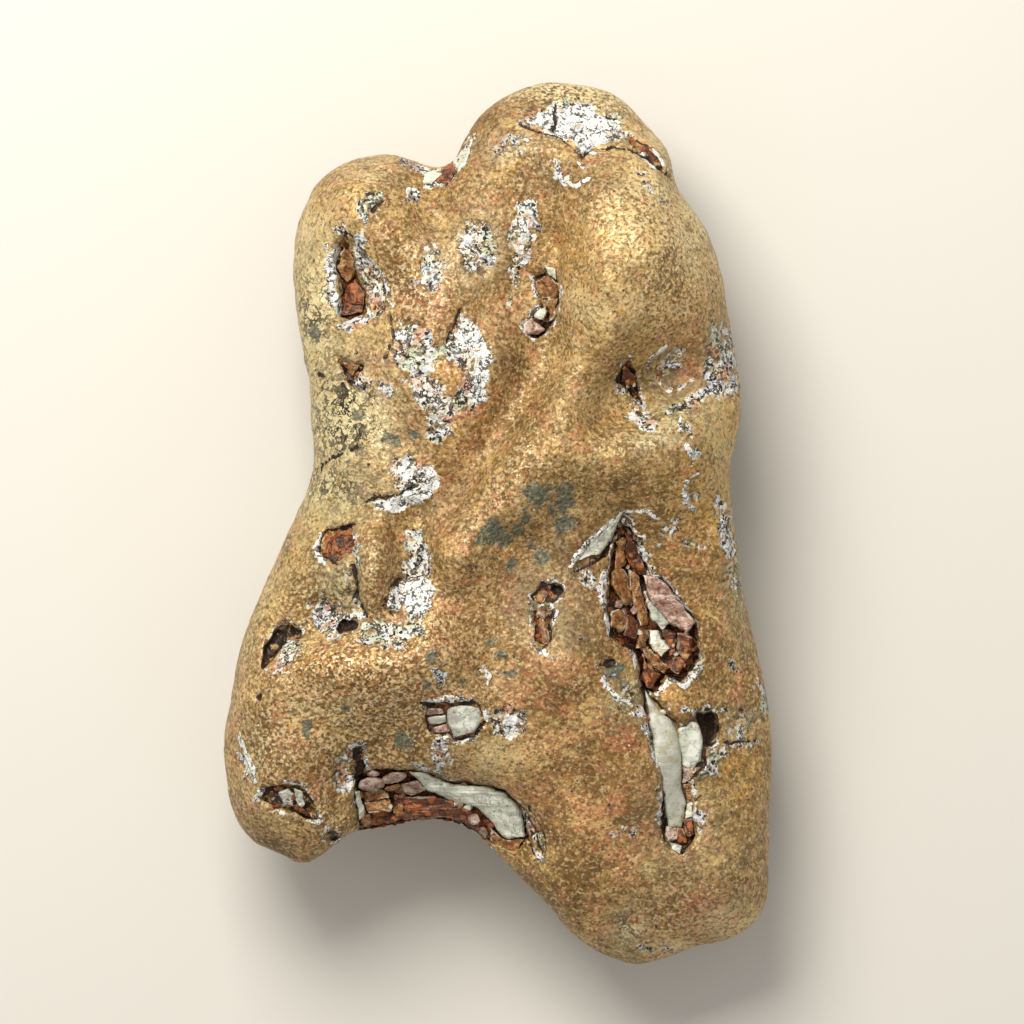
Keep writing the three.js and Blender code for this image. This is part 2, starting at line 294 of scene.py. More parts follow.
# Patches of sugary quartz: outline, how far below the metal they lie, and how white they are.
QUARTZ_PATCHES = {
    "on the knob": ([(-14.4, 31.8), (-13, 33.2), (-11.2, 33), (-12.6, 30.6), (-13.4, 28.4)], 0.15, 0.8),
    "below the knob": (oval(-13.6, 28.8, 1.6, 0.7, 80), 0.05, 0.5),
    "in the notch": ([(-9.8, 35.8), (-7.2, 36.2), (-4.8, 36.8), (-2.2, 38.8), (-3.2, 36), (-5.4, 33.4),
        (-7.6, 33.4), (-7.6, 35)], 0.35, 1),
    "curls under the notch": (oval(-8.4, 32.6, 0.9, 0.5, 20), 0.1, 0.7),
    "shelf": ([(1.9, 39.9), (3.8, 41.3), (7.7, 42.5), (11.9, 40.4), (12.9, 38.6), (10, 37.4), (8.4, 36.6),
        (6.4, 38.4)], 0.35, 0.95),
    "mottle left of the shelf": (oval(1.4, 37.6, 2.2, 0.9, 20), 0.05, 0.35),
    "curls on the brow": ([(4.9, 36.2), (5.3, 34.6), (6.4, 33.4), (7.9, 34.4), (6.6, 34.2), (5.8, 35.4)],
        0.15, 0.85),
    "specks right of the brow": (oval(15.4, 33.2, 2.4, 0.9, -50), 0.05, 0.5),
    "beside the upper left pit": ([(-14.8, 28), (-12.9, 25.9), (-11.7, 24), (-11.5, 21), (-12.8, 20.2),
        (-13.2, 22.8), (-14.3, 25.2)], 0.35, 0.95),
    "rim of the upper left pit": (oval(-16.9, 24.2, 3.6, 0.5, -88), 0, 0.95),
    "top of the upper left pit": (oval(-15.8, 29.2, 0.9, 0.6, 30), 0, 0.8),
    "foot of the upper left pit": (oval(-14.8, 19.8, 1.8, 0.5, 5), 0, 0.7),
    "first of three": (oval(-6.7, 25.4, 2.6, 1.3, 85), 0.2, 0.66),
    "second of three": (oval(-2.2, 27.2, 3, 1.9, -75), 0.3, 0.7),
    "third of three": (oval(2.3, 28.4, 4.2, 1.4, 82), 0.2, 0.7),
    "left of the blocks": (oval(1.6, 23.6, 2.4, 0.7, 72), 0.1, 0.55),
    "great patch, left horn": ([(-10.6, 20.4), (-7.6, 19.6), (-6.6, 17.6), (-5.2, 17), (-6.6, 14.6),
        (-8.8, 13.6), (-10.6, 16.4)], 0.3, 0.8),
    "great patch, right": ([(-5.8, 17.6), (-3.6, 20.8), (-2.2, 19.2), (-1, 17.4), (-1.2, 12.8),
        (-2.8, 10.6), (-4.4, 11.2), (-3.6, 14.6), (-5, 16)], 0.2, 0.82),
    "great patch, foot": ([(-8.8, 14.6), (-6.4, 14.6), (-3.6, 11.6), (-5, 8.8), (-7, 7.8), (-7.6, 11)],
        0.25, 0.85),
    "stone by the waist pit": (oval(-13.4, 13.7, 0.9, 0.8, 60), -0.35, 1),
    "stone left of the great patch": (oval(-11.2, 13.1, 1.1, 0.6, -15), -0.2, 0.9),
    "crescent": ([(-10.7, 6.5), (-8.3, 6.1), (-6.9, 5.4), (-6, 4.1), (-6.5, 2.8), (-7.8, 1.8), (-9.9, 1.1),
        (-11.5, 1.3), (-12.6, 1.8), (-9.6, 2.8), (-10.8, 3.8)], 0.25, 1),
    "under the three cornered pit": (oval(14.3, 10.2, 1.8, 1, -40), 0.1, 0.85),
    "left of the three cornered pit": (oval(12.4, 12.9, 1.2, 0.3, -38), 0, 0.7),
    "inside the hollow": (oval(17, 16.2, 1.9, 0.5, 40), 0.1, 0.65),
    "right edge, upper": ([(21.4, 19.8), (23.8, 19.4), (24, 12.4), (20.8, 12.4), (20.4, 15.6)], 0.2, 0.75),
    "right edge, foot": (oval(18.6, 11.8, 2.6, 0.6, 28), 0.1, 0.75),
    "chain, first": (oval(18.9, 9, 1, 0.5, -60), 0.1, 0.65),
    "chain, second": (oval(19.4, 6.2, 1.3, 0.45, 85), 0.1, 0.65),
    "chain, third": (oval(19.4, 2.6, 0.9, 0.5, 90), 0.1, 0.6),
    "right of the apex": (oval(17, -0.8, 1.6, 0.7, 40), 0.1, 0.7),
    "below that": (oval(19.4, -2.4, 1.1, 0.4, -20), 0.05, 0.6),
    "green bit": (oval(10.1, 9.7, 1.1, 0.4, 10), 0, 0.5),
    "right edge, middle": (oval(22.6, -0.6, 3.4, 0.9, -80), 0.1, 0.8),
    "right edge, lower": (oval(23.6, -5.8, 2.2, 0.5, -75), 0.1, 0.75),
    "beside the round pit": (oval(-14.2, -3, 2, 0.45, -78), 0.1, 0.85),
    "line under the round pit": (oval(-14.6, -6.8, 1.8, 0.4, -80), 0.1, 0.6),
    "above the white stone": ([(-9.4, -0.6), (-7.8, -1), (-7, -3.4), (-7, -5.6), (-9.6, -5.6), (-9, -3.4)],
        0.3, 0.95),
    "below the white stone": ([(-13.4, -9.6), (-9.6, -9.6), (-7.4, -9.4), (-7.2, -11), (-9.8, -12.6),
        (-14.4, -12.2)], 0.2, 0.75),
    "left of the valley pit": ([(-19.6, -8.2), (-17.6, -7.4), (-15.4, -8.6), (-13.4, -8.2), (-13.2, -9.8),
        (-15, -9.8), (-16.2, -12), (-18, -10.6)], 0.2, 0.7),
    "in the foot crescent": ([(-21.6, -12.3), (-20.8, -11.8), (-19.5, -11.9), (-19.5, -13), (-21, -14.4),
        (-22.8, -15.5), (-22.3, -13.8)], 0, 0.8),
    "small cavity, head": (oval(4.8, -7.6, 2, 1.2, 10), 0.1, 0.4),
    "small cavity, foot": (oval(4.7, -13.2, 1, 0.4, -30), 0, 0.8),
    "above the main cavity": (oval(9, -5.6, 2, 1, -30), 0.1, 0.6),
    "main cavity, right arm": (oval(14.2, -2.2, 3.2, 0.25, -64), -0.15, 1),
    "main cavity, lower lip": ([(16.6, -15.2), (18.2, -15.9), (19.8, -13.8), (20, -12.4), (20.4, -14.2),
        (18.6, -16.6)], 0, 0.9),
    "slot, left lip": (oval(15, -21.6, 4.4, 0.35, -72), 0, 0.85),
    "slot, lower left lip": (oval(16, -28.8, 3.4, 0.35, -84), 0, 0.8),
    "slot, right lip": (oval(19.6, -28.4, 3.4, 0.35, -84), 0, 0.8),
    "slot hole, upper lip": (oval(20.2, -18.9, 2.2, 0.35, 0), 0, 0.9),
    "slot hole, right lip": (oval(21.4, -24, 2, 0.7, 50), 0, 0.9),
    "ochre line": (oval(23.8, -22.5, 2.2, 0.2, 6), 0, 0.75),
    "diagonal vein": (oval(12.4, -18, 2.2, 0.3, -44), 0, 0.85),
    "grey specks": (oval(12.7, -17.2, 2.4, 1.4, -50), 0.1, 0.42),
    "blue streak": (oval(23.6, -14.4, 1.1, 0.28, -42), 0, 1),
    "below the slab bed": (oval(-5.9, -23.2, 1.7, 1.2, -70), 0.1, 0.7),
    "right of the slab bed": (oval(1, -20, 2, 1.6, 10), 0.2, 0.75),
    "specks above the slab bed": (oval(-5.8, -15.4, 1.4, 0.5, -60), 0.05, 0.7),
    "more specks above the slab bed": (oval(-1.4, -15.2, 1.4, 0.4, -30), 0.05, 0.65),
    "stone in the foot pit": (oval(-15.4, -24.9, 1.1, 2.2, -8), 0.3, 0.62),
    "in the foot cavity": (oval(-20.8, -27.6, 1.8, 0.6, -10), -0.5, 0.9),
    "left heel": (oval(-25.2, -24.6, 2.2, 0.6, -72), 0, 0.65),
    "right rim": (oval(26.2, -17.4, 2.8, 0.3, -72), 0, 0.8),
    "beside the notch": (oval(3.2, -30.6, 2.6, 0.7, -58), 0.1, 0.8),
    "foot of the notch": (oval(3.9, -33.3, 0.9, 0.7), 0.1, 0.7),
    "above the notch": (oval(-7.6, -24.4, 3, 0.6, -18), 0.05, 0.45),
    "grey edge patch": (oval(24.6, -20.2, 1.8, 1.3, 60), 0.15, 0.5),
    "low right specks": (oval(12.6, -30.8, 1.6, 0.8, 20), 0.05, 0.5),
    "tip": (oval(16, -42.8, 2.2, 0.7, 0), 0, 0.45),
}

# Smooth milky quartz, where a face of a vein lies bare: outline, and how far below the metal it lies.
MILK_PATCHES = {
    "shelf": ([(2.6, 39.9), (4.4, 41.2), (7.6, 42.2), (11.6, 40.3), (12.8, 38.5), (10.2, 37.6), (8.4, 37.2),
        (6.4, 38.8)], 0),
    "great patch, right horn": ([(-3.8, 20.8), (-2.8, 19.8), (-1.4, 18.2), (-0.9, 16.4), (-1.2, 13.4),
        (-2.2, 11.6), (-3, 12.2), (-2.4, 14.4), (-2.8, 16.4), (-4.4, 18.6)], 0),
    "great patch, left horn": (oval(-9.4, 18.4, 1.1, 0.5, -30), 0),
    "crescent": ([(-6.9, 5.6), (-5.9, 4.8), (-6.1, 3.6), (-6.7, 2.6), (-7.9, 1.7), (-9.9, 1), (-11.5, 1.2),
        (-12.6, 1.8), (-9.8, 2.4), (-8, 3), (-7.2, 4.2)], -0.1),
    "crescent, middle": (oval(-9.4, 4.9, 1.1, 0.7, 80), 0),
    "white stone": ([(-11, -6.9), (-9.2, -5.8), (-7.1, -5.4), (-6.4, -6.6), (-6.6, -9), (-8, -9.9),
        (-9.4, -8.6), (-11.2, -8.8)], -0.35),
    "left of the upper left pit": (oval(-16.7, 24.4, 3.2, 0.35, -86), -0.15),
    "round pit": (oval(-14.3, -1.8, 1.4, 0.35, 88), -0.1),
    "third of three": (oval(2.5, 28.4, 1.8, 0.6, 84), 0),
    "ledge over the slab bed": (oval(-4.8, -17.7, 2.9, 0.3, 2), -0.15),
    "right of the slab bed": (oval(1.2, -20, 1, 0.8, 20), -0.1),
}

# Round spots of a dark grey-green film: middle and radius.
SPOTS = [
    (3.7, 2.8, 1.3), (6.5, 3.2, 0.9), (6.6, 1.9, 0.9), (6.5, -0.2, 1.2), (2.7, 0.6, 0.8), (-0.8, 0, 0.8),
    (-1.3, -1.4, 1), (0.6, -1.7, 1), (4.4, -3.6, 0.8), (1.2, -4.2, 0.7), (-6.6, -13.4, 0.8),
    (-3.7, -16, 0.5), (-7.2, -16.2, 0.5), (1.4, -15.2, 0.6), (0.4, -13.3, 0.7), (-0.9, -12.2, 0.5),
    (-19.1, -20.5, 0.7), (-20.6, -19, 0.5), (-15.4, -18.8, 0.6), (-9.7, -22, 1), (-10.9, 8.2, 0.8),
    (-8.7, 8.6, 0.7), (-14, 10.6, 0.7), (-18.4, 19, 0.7), (11.4, -14.9, 1), (12.4, -16.2, 1),
    (4.9, 3.2, 0.9), (5.6, 1.2, 0.8), (2, -0.6, 0.7), (3.2, -2.4, 0.6),
]

# Soft washes of tarnish over the metal; the umber ones are also painted shade, the cream ones also
# painted light: X and Y of each one's middle, its half length and half width, how strong it is, and its
# turn from X in degrees where it has one.
WASHES = {
    "copper": [
        (-7.8, 22.6, 4.6, 4.6, 0.5), (-5, 13.8, 1.8, 1.6, 1), (-11.4, 15, 2, 1.8, 1),
        (-1.6, 10.2, 4, 1.6, 0.6, 50), (-8.6, 10, 1.8, 2.4, 0.7), (1.6, 22, 2.6, 4, 0.6),
        (-1, 30.6, 3.4, 2, 0.4), (12.8, 21.6, 1.8, 1, 1), (15.6, 17.8, 2.2, 0.8, 1, 30),
        (18.8, 15.2, 2.2, 2.6, 1, 10), (18.6, 19.6, 2.4, 3, 0.5), (12.8, 33.4, 1.8, 1.2, 0.4, 20),
        (-5.2, 4.6, 1.8, 3.4, 0.7, -30), (-12.2, 6.4, 1.6, 1.4, 1), (2.6, -6.6, 2, 4.4, 1, 10),
        (7.6, -6.8, 5, 3, 0.6, -30), (4.6, -15, 4.6, 3.4, 0.7), (16.6, -11, 4, 5.6, 0.3, 20),
        (-3.6, -8.8, 4, 3, 0.3), (8.8, -19.2, 4.2, 2.6, 0.5), (6, -26, 5, 6, 0.35),
        (12, -21.6, 2, 1.8, 0.9), (12.4, -31, 4.6, 5, 0.8), (20.2, -38.4, 3, 2.4, 1),
        (13.5, -40.2, 1.6, 1.2, 1), (13.4, -34.4, 2, 1.6, 0.7), (8.8, 39.6, 2, 1, 0.8),
        (-13.4, -16, 7, 4, 0.4, 10), (-17.6, -26.6, 2.4, 1.8, 0.9, -5), (-12, -24, 3, 1, 0.6),
        (-19.4, -28.6, 0.9, 0.8, 1), (3, -12, 1, 2.6, 0.8),
    ],
    "yellow": [
        (-19.4, 24, 2, 6, 0.5), (-18.8, 17.6, 2.6, 5, 0.9), (-16, 9.6, 4.4, 5.4, 0.9),
        (-17.6, 2.6, 3.6, 3.6, 0.8), (-12.4, 6.2, 3.4, 3, 0.5), (17, 10.2, 3.6, 1.6, 0.4, 10),
        (-23.6, -9, 1.4, 5, 0.5, -25), (21.6, 6, 2, 6, 0.5), (14.7, -34.7, 0.9, 0.7, 1),
    ],
    "olive": [
        (20.6, -27, 6, 6, 0.5), (20.4, -17, 3, 3, 0.7), (12, 2.6, 7, 3.4, 0.6),
        (17.6, 23.4, 3.6, 3.4, 0.25), (17.4, 14.8, 5, 2.2, 0.2, 20), (-9, -20.6, 7, 3.6, 0.45),
        (5.6, -37, 2, 6, 0.5, 40), (-12, -3.2, 1.2, 2.6, 0.6), (-18.2, -6.8, 1.8, 1.4, 0.8),
        (12.6, -17.2, 1.8, 2.4, 0.7, -30), (8.8, -11.4, 2.8, 4.4, 0.8), (5.4, -5, 4.4, 4, 0.9),
        (2.6, 14, 1.6, 7, 0.6, -22), (-22, -32.4, 4, 1.4, 0.8, -25), (15.8, 13.8, 2, 2.2, 0.8),
        (6.6, -33, 2, 6, 0.5, 40),
    ],
    # Umber: dark brown tarnish, and painted shade in the valleys, under the brow and on shaded flanks.
    "umber_and_painted_shade": [
        (-1.6, 38.4, 2.8, 6, 0.7, -38), (-3, 35.8, 3, 3, 0.6), (7.2, 34, 4.6, 3.2, 0.5),
        (-4, 32, 4.4, 2.6, 0.3), (3.2, 29.6, 1.8, 4, 0.4, -10), (-1, 27, 3, 3, 0.3),
        (-17, 33.6, 3, 1.6, 0.4, 30), (-9, 21, 3, 2.6, 0.4), (2.6, 20.4, 2.6, 3.4, 0.3, -10),
        (0.2, 17.2, 2, 4, 0.6), (19, 13, 2.4, 3, 0.5), (17, 9.6, 4, 2.4, 0.3), (7.4, 9.8, 2.8, 3, 0.2),
        (-1, 7.4, 2.4, 3.4, 0.2, -40), (-5.4, 2.8, 3.6, 2.6, 0.4, 45), (-16.6, 2, 2.4, 2.4, 0.3),
        (-9.6, -6.4, 2, 3, 0.5), (-12.6, -11, 3, 1.8, 0.3), (7, -3.6, 3.4, 3.4, 0.8),
        (3.4, -7.4, 3, 3.2, 0.8), (7.6, -9.6, 2.8, 3.6, 0.7), (0.6, -15, 4.4, 2.2, 0.3),
        (19, -3.6, 3, 4, 0.4), (15, -1.4, 2.4, 3, 0.3), (11.4, -18.2, 2.4, 2, 0.3),
        (18, -21.4, 3.4, 3.4, 0.5), (-20.6, -23, 2.6, 3, 0.2), (11.8, -42.6, 3, 1.6, 0.3),
        (3.6, -35.6, 1.6, 1.6, 0.4), (-22.4, -33, 3, 0.9, 0.3, -25),
    ],
    # Cream: pale tarnish, and painted light on ridges and lit slopes.
    "cream_and_painted_light": [
        (6.6, 43.2, 9, 1.8, 1, -8), (15, 39.4, 1.4, 4.4, 0.9, 40), (-19.8, 30, 1.6, 6, 0.8),
        (20.4, 31, 1.8, 7, 0.7, 20), (12.6, 28.6, 3.4, 4.4, 0.5), (23.4, -40.2, 3, 2.4, 0.7),
        (-24.8, -24, 1.8, 8, 0.2), (14.8, 33.2, 3.8, 3.2, 1, -30), (19.6, 28.6, 2.8, 5, 1, 20),
        (-1, -23.2, 3.4, 1.8, 0.8), (-13.4, 35.4, 5, 1.2, 0.6), (-6, 1.6, 3, 1, 0.3, 50),
        (-15.6, 11.4, 4.4, 6, 0.4), (-18, 21, 1.8, 5, 0.7), (22, 9.4, 1.4, 5, 0.2), (11, 21.4, 7, 2.4, 0.7),
        (3, 1.4, 2, 2, 0.35), (7.2, 17.2, 2.4, 3, 0.4), (11, 12.6, 3, 2, 0.35),
        (-17.4, 28.6, 2.4, 3.4, 0.8), (-17.4, -18.8, 4, 2.4, 0.4), (15.4, -42.4, 4, 1.2, 0.6),
    ],
    "gold": [
        (14.2, 21.8, 5.4, 3, 0.8), (19.6, 24, 3, 3.6, 0.7), (15.4, 31.4, 4, 4, 0.6),
        (-14.6, -19.6, 4.4, 2.6, 0.7), (-0.6, -23.6, 4.4, 2.2, 0.7, -8), (20, 1.6, 3, 6, 0.5),
        (16.8, -15.8, 4, 2.4, 0.5), (15.4, 17.4, 2, 0.8, 0.5, 30), (-17.2, 32, 3.4, 3, 0.6),
        (9.6, 28.6, 4, 4.4, 0.6), (7.4, 17.6, 1.6, 6, 0.4, 15), (15, 10.6, 5, 1.6, 0.5, 8),
        (-15, -13.2, 6, 2, 0.4, 10), (24.4, -25, 2.4, 3.2, 1), (3, -2.6, 3, 4, 0.3), (22.8, 9, 1.6, 8, 0.8),
        (15.8, 38, 1.4, 4, 0.8, 40), (-2, 40, 2, 4, 0.6, -38), (-4, 34, 5, 2.4, 0.4),
        (-5, 13.8, 1.8, 1.6, 0.5),
    ],
    "sandy": [
        (-16, -14.4, 9, 3, 1, 10), (-8.4, 23.6, 4.4, 5.4, 0.9), (-14, 33.6, 5, 3, 0.5), (13, 30, 6, 5, 0.7),
        (14, 8.2, 5, 2, 0.6, 10), (-1, 33, 5, 2, 0.4), (-22.6, -22, 3.6, 8, 0.7), (-4, -13, 4, 3, 0.5),
        (6.4, 42.6, 9, 2.4, 1, -8), (0, 3, 6, 2, 0.5, 50), (7.4, 19, 1.6, 7, 0.5), (4, -24, 6, 4, 0.2),
        (-7, -11.6, 4, 2.6, 0.8), (19, -38, 7, 6, 0.4), (-18, -29, 6, 3, 0.7, -20), (17, 25, 4, 7, 0.7),
        (-14, 10, 6, 8, 0.7), (-4, 24, 16, 16, 0.4), (-14, -16, 12, 14, 0.8), (4, 38, 12, 5, 0.4),
        (2, -2, 9, 12, 0.35),
    ],
    "squiggles": [
        (-18.2, 21, 2.6, 6, 0.9), (-15.6, 10.4, 4.6, 5.6, 1), (-16.6, 3.6, 4.6, 3, 0.8),
        (-2.2, 27.2, 2.4, 3.4, 0.8), (-6.7, 25.4, 1.6, 2.6, 0.6), (4.6, -9.6, 3, 4, 0.4),
        (-15.6, -6.6, 2, 2.4, 0.7), (17.4, 10, 4, 2.4, 0.6, 20), (16.6, 15.4, 2, 2, 0.6),
        (21.8, 15.6, 1.6, 4, 0.8), (12.9, -17.4, 1.6, 2.4, 0.8, -30), (24.4, -20.2, 1.6, 1.6, 0.8),
        (1.2, 37.4, 2.4, 1, 0.7, 10), (19.4, -31, 6, 6, 0.25), (9.6, 40, 3.4, 1.6, 0.5, -15),
        (13, -40.6, 2, 2, 0.7), (23.8, -4, 1.2, 6, 0.7),
    ],
}

# Dark seams of soot and painted shade in the crease: the line each follows, half its width and its depth.
SEAMS = {
    "under the shelf": ([(8.3, 36.4), (9.4, 37.2), (13.1, 37.2), (14.9, 36.3), (17.4, 34.4)], 0.14, 0.5),
    "brow edge": ([(2, 39.5), (4.8, 38.7), (6.5, 38.1), (8.3, 36.5)], 0.12, 0.35),
    "crack in the shelf": ([(5.6, 41.6), (5.5, 39.2)], 0.16, 0.4),
    "upper left pit": ([(-15.6, 29.4), (-14.6, 28), (-13.2, 26.2), (-12.2, 24.6), (-11.7, 22.6)], 0.1, 0.4),
    "knob slit": ([(-12.6, 30.8), (-11.7, 31.8)], 0.18, 0.4),
    "waist, upper": ([(-18.4, 15.2), (-17, 14), (-15, 13.4)], 0.1, 0.25),
    "waist, lower": ([(-18.2, 4.8), (-16.6, 6.4), (-14.6, 7.2), (-12.9, 8.7)], 0.1, 0.25),
    "crescent": ([(-13.4, 2), (-11.5, 2.4), (-9.6, 2.8), (-8.2, 3.3)], 0.12, 0.35),
    "edge of the round pit": ([(-17.9, -3), (-17.9, -1.9), (-17, -0.9), (-14.2, -0.4)], 0.14, 0.3),
    "above the white stone": ([(-11, -6.8), (-9.8, -5.7), (-8.6, -5.4), (-7.6, -5.2)], 0.12, 0.3),
    "left of the white stone": ([(-11.3, -7.4), (-11.4, -8.8), (-10.2, -9.6)], 0.1, 0.3),
    "under the round pit": ([(-14.6, -4.3), (-14.5, -7.4), (-13.3, -9.2)], 0.22, 0.5),
    "left arm of the main cavity": ([(11.9, -0.8), (10.4, -3.4), (7.6, -4.8)], 0.18, 0.5),
    "right arm of the main cavity": ([(12.9, -0.4), (14, -2.4), (14.7, -5)], 0.1, 0.4),
    "great patch, left": ([(-10.8, 20.6), (-10.6, 18.4), (-11.4, 16.2)], 0.15, 0.3),
    "great patch, right horn": ([(-5.2, 17.8), (-3.8, 20.9)], 0.15, 0.3),
    "blocks": ([(5.3, 22.2), (5, 20.2), (3.8, 18.7)], 0.25, 0.7),
    "under the ledge of the slab bed": ([(-7.5, -18.1), (-4.8, -18.1), (-2.2, -18)], 0.13, 0.3),
    "round the slab": ([(-1.5, -19.9), (-2.6, -21.3), (-4.4, -21.6), (-5.2, -20.8)], 0.13, 0.3),
    "first layer beside the notch": ([(2, -28.4), (3.4, -30.8), (4.2, -33.4)], 0.1, 0.25),
    "second layer beside the notch": ([(1.8, -29.6), (2.8, -31.6), (3.4, -33.4)], 0.1, 0.25),
    "third layer beside the notch": ([(2.9, -28.4), (4.2, -30.8), (4.8, -33)], 0.08, 0.2),
    "foot pit": ([(-13.8, -26), (-13.6, -27.6)], 0.16, 0.5),
    "right of the slot's stone": ([(20.5, -22.2), (20.4, -24.2), (19.6, -25.4)], 0.2, 0.3),
    "below the ochre": ([(22.4, -22.2), (25.8, -22)], 0.08, 0.15),
}

# Thin veins of milky quartz that stand a little proud: the line each follows and half its width.
VEINLETS = {
    "curl on the brow": ([(5.5, 36), (5.7, 34.6), (6.6, 33.6), (7.8, 33.4), (8.9, 34.2)], 0.22),
    "fleck in the curl": ([(7.5, 35.9), (8.3, 35.5)], 0.2),
    "below the shelf": ([(6.4, 38.6), (8.2, 37.4), (9.4, 36.5)], 0.2),
    "curl under the knob": ([(-9.2, 32.4), (-8.9, 33.2), (-8, 32.8)], 0.2),
    "right of the upper left pit": ([(-14.4, 28), (-12.8, 26), (-11.5, 24.4), (-11.1, 22), (-10.4, 21.4)],
        0.16),
    "left of the round pit": ([(-17.6, -4), (-18.2, -2.6), (-17.8, -1.4)], 0.25),
    "hollow, outer": ([(14.8, 15.2), (15.3, 16.6), (16.6, 17.4)], 0.16),
    "hollow, inner": ([(16, 14), (16.6, 15.4), (17.9, 15.6)], 0.16),
    "hollow, lower": ([(17, 13), (18.6, 13.4), (19.6, 14.4)], 0.16),
    "chain, upper": ([(18, 10.2), (17.9, 8.8)], 0.18),
    "chain, middle": ([(18.7, 7.6), (19.1, 6.6)], 0.3),
    "chain, lower": ([(19.8, 4.8), (18.7, 4.1), (18.4, 2.8), (18.9, 1.6), (19.5, 1.2)], 0.2),
    "left arm of the main cavity": ([(12.4, 0.9), (10.4, -0.6), (8.4, -2.6), (7.2, -4.4)], 0.18),
    "right arm of the main cavity": ([(12.7, -0.2), (13.9, -1.8), (14.9, -4), (15.4, -5.3)], 0.16),
    "left wall of the main cavity": ([(10.6, -5), (10.1, -6.6), (10.5, -8.2)], 0.25),
    "over the main cavity": ([(12.8, 0.9), (14.6, 1.2), (15.8, 0.2)], 0.2),
    "foot of the main cavity": ([(15.6, -17.2), (16.8, -15.8), (18.6, -16.4), (20.2, -14.4)], 0.2),
    "left of the slot": ([(10.3, -15.5), (11.2, -16.9), (12.4, -17.7), (13.3, -18.3)], 0.2),
    "heel": ([(-25.8, -21.2), (-25.3, -23), (-24.6, -24.2), (-24.3, -26)], 0.2),
    "small arc": ([(-1.6, -14.4), (-0.8, -15.4), (-1.2, -16.2)], 0.18),
}

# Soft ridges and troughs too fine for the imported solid: X and Y of each one's middle, its half length and
# half width, its height, and its turn from X in degrees where it has one.
FOLDS = {
    "tongue beside the round pit": (-12.2, -3.2, 1.5, 4.2, 0.9),
    "trough right of the tongue": (-10.2, -3, 0.7, 3.4, -0.4),
    "trough left of the tongue": (-14.3, -6.6, 0.6, 2.6, -0.5),
    "crest left of the dome": (7.2, 22, 1, 7.5, 0.45, 3),
    "trough left of the crest": (5.6, 27.6, 0.9, 4.6, -0.5),
    "middle ridge": (-0.2, 4.8, 10, 1.1, 0.4, 52),
    "trough under the middle ridge": (3.6, 4.6, 5, 1.2, -0.4, 53),
    "trough over the middle ridge": (0.6, 9.4, 10.5, 1.4, -0.3, 58),
    "trough under the brow": (8.6, 35.2, 7.5, 0.9, -0.5, -8),
}

# Patches of each finish on the sides and the underside: how large they are in millimetres, and how strong.
SIDE_PATCHES = {
    "copper": (11.0, 0.8), "olive": (13.0, 0.6), "yellow": (12.0, 0.7), "squiggles": (10.0, 0.8),
    "sandy": (8.0, 0.8), "cream_and_painted_light": (7.0, 0.7), "spots": (5.0, 0.6),
}
SIDE_QUARTZ_SIZE, SIDE_QUARTZ_WHITE = 9.0, 0.85

PATCH_WAVER = 1.0, 0.45, 11
LINE_WAVER = 0.9, 0.2, 21
WASH_WAVER = 3.0, 0.8, 31
PATCH_EDGE = 0.3
SPOT_STRENGTH = 0.8
# How far outside a cavity's lip its dark line of soot and painted shade and its pale line run; the dark
# line lies inside it.
SOOT_AND_SHADE_LINE, PALE_LINE = -0.12, 0.22
LONGEST_EDGE_BROKEN = 0.36
BROKEN_REACH = 0.45
WAVES = [(7.0, 0.34), (2.8, 0.13), (1.3, 0.06)]
GRAIN_SIZE, GRAIN_HEIGHT = 0.55, 0.04
CRYSTAL_SIZE, CRYSTAL_HEIGHT = 0.75, 0.22
BROKEN_SIZE, BROKEN_HEIGHT = 1.1, 0.3
PIT_SPACING, PIT_RADIUS, PIT_DEPTH = 2.4, 0.55, 0.16
SIDE_CAVITY_SPACING, SIDE_CAVITY_RADIUS, SIDE_CAVITY_DEPTH = 9.0, 1.9, 1.5
VEINLET_HEIGHT = 0.12
STILL_BELOW = 1.5


def longest_edge_broken(middle, out):
    """The longest edge wanted at a place, finer on the upper face where quartz or broken rock comes out."""
    broken = np.zeros(len(middle), bool)
    for outline, *_ in [*CAVITIES.values(), *QUARTZ_PATCHES.values()]:
        broken |= from_outline(outline, middle[:, 0], middle[:, 1]) < BROKEN_REACH
    longest = longest_edge(middle, out)
    return np.where(broken & (longest == LONGEST_EDGE_FRONT), LONGEST_EDGE_BROKEN, longest)


def strewn(points, spacing, radius, seed, share):
    """1 in the middle of a share of the spots strewn over the surface, falling to 0 at their radius."""
    made = np.zeros(len(points))
    for index, point in enumerate(points.tolist()):
        distances, middles = noise.voronoi(Vector(point) / spacing + Vector((seed, seed, seed)))
        if noise.cell(middles[0] * 7.3) * 0.5 + 0.5 < share:
            made[index] = 1 - distances[0] * spacing / radius
    return np.clip(made, 0, 1)


def crystals(points, size, seed):
    """Crowded grains size millimetres across: 0 in the cracks between them and 1 on top of each."""
    made = np.zeros(len(points))
    for index, point in enumerate(points.tolist()):
        distances, _ = noise.voronoi(Vector(point) / size + Vector((seed, seed, seed)))
        made[index] = distances[1] - distances[0]
    return np.clip(made * 2, 0, 1)


def add_largest(mask, more):
    """Keeps the larger of a mask and one more patch of it."""
    np.maximum(mask, more, out=mask)


def within(half, distance):
    """1 within about half of a line or a middle, 0 well beyond it, with a soft edge between."""
    return smooth(half * 1.6, half * 0.4, distance)


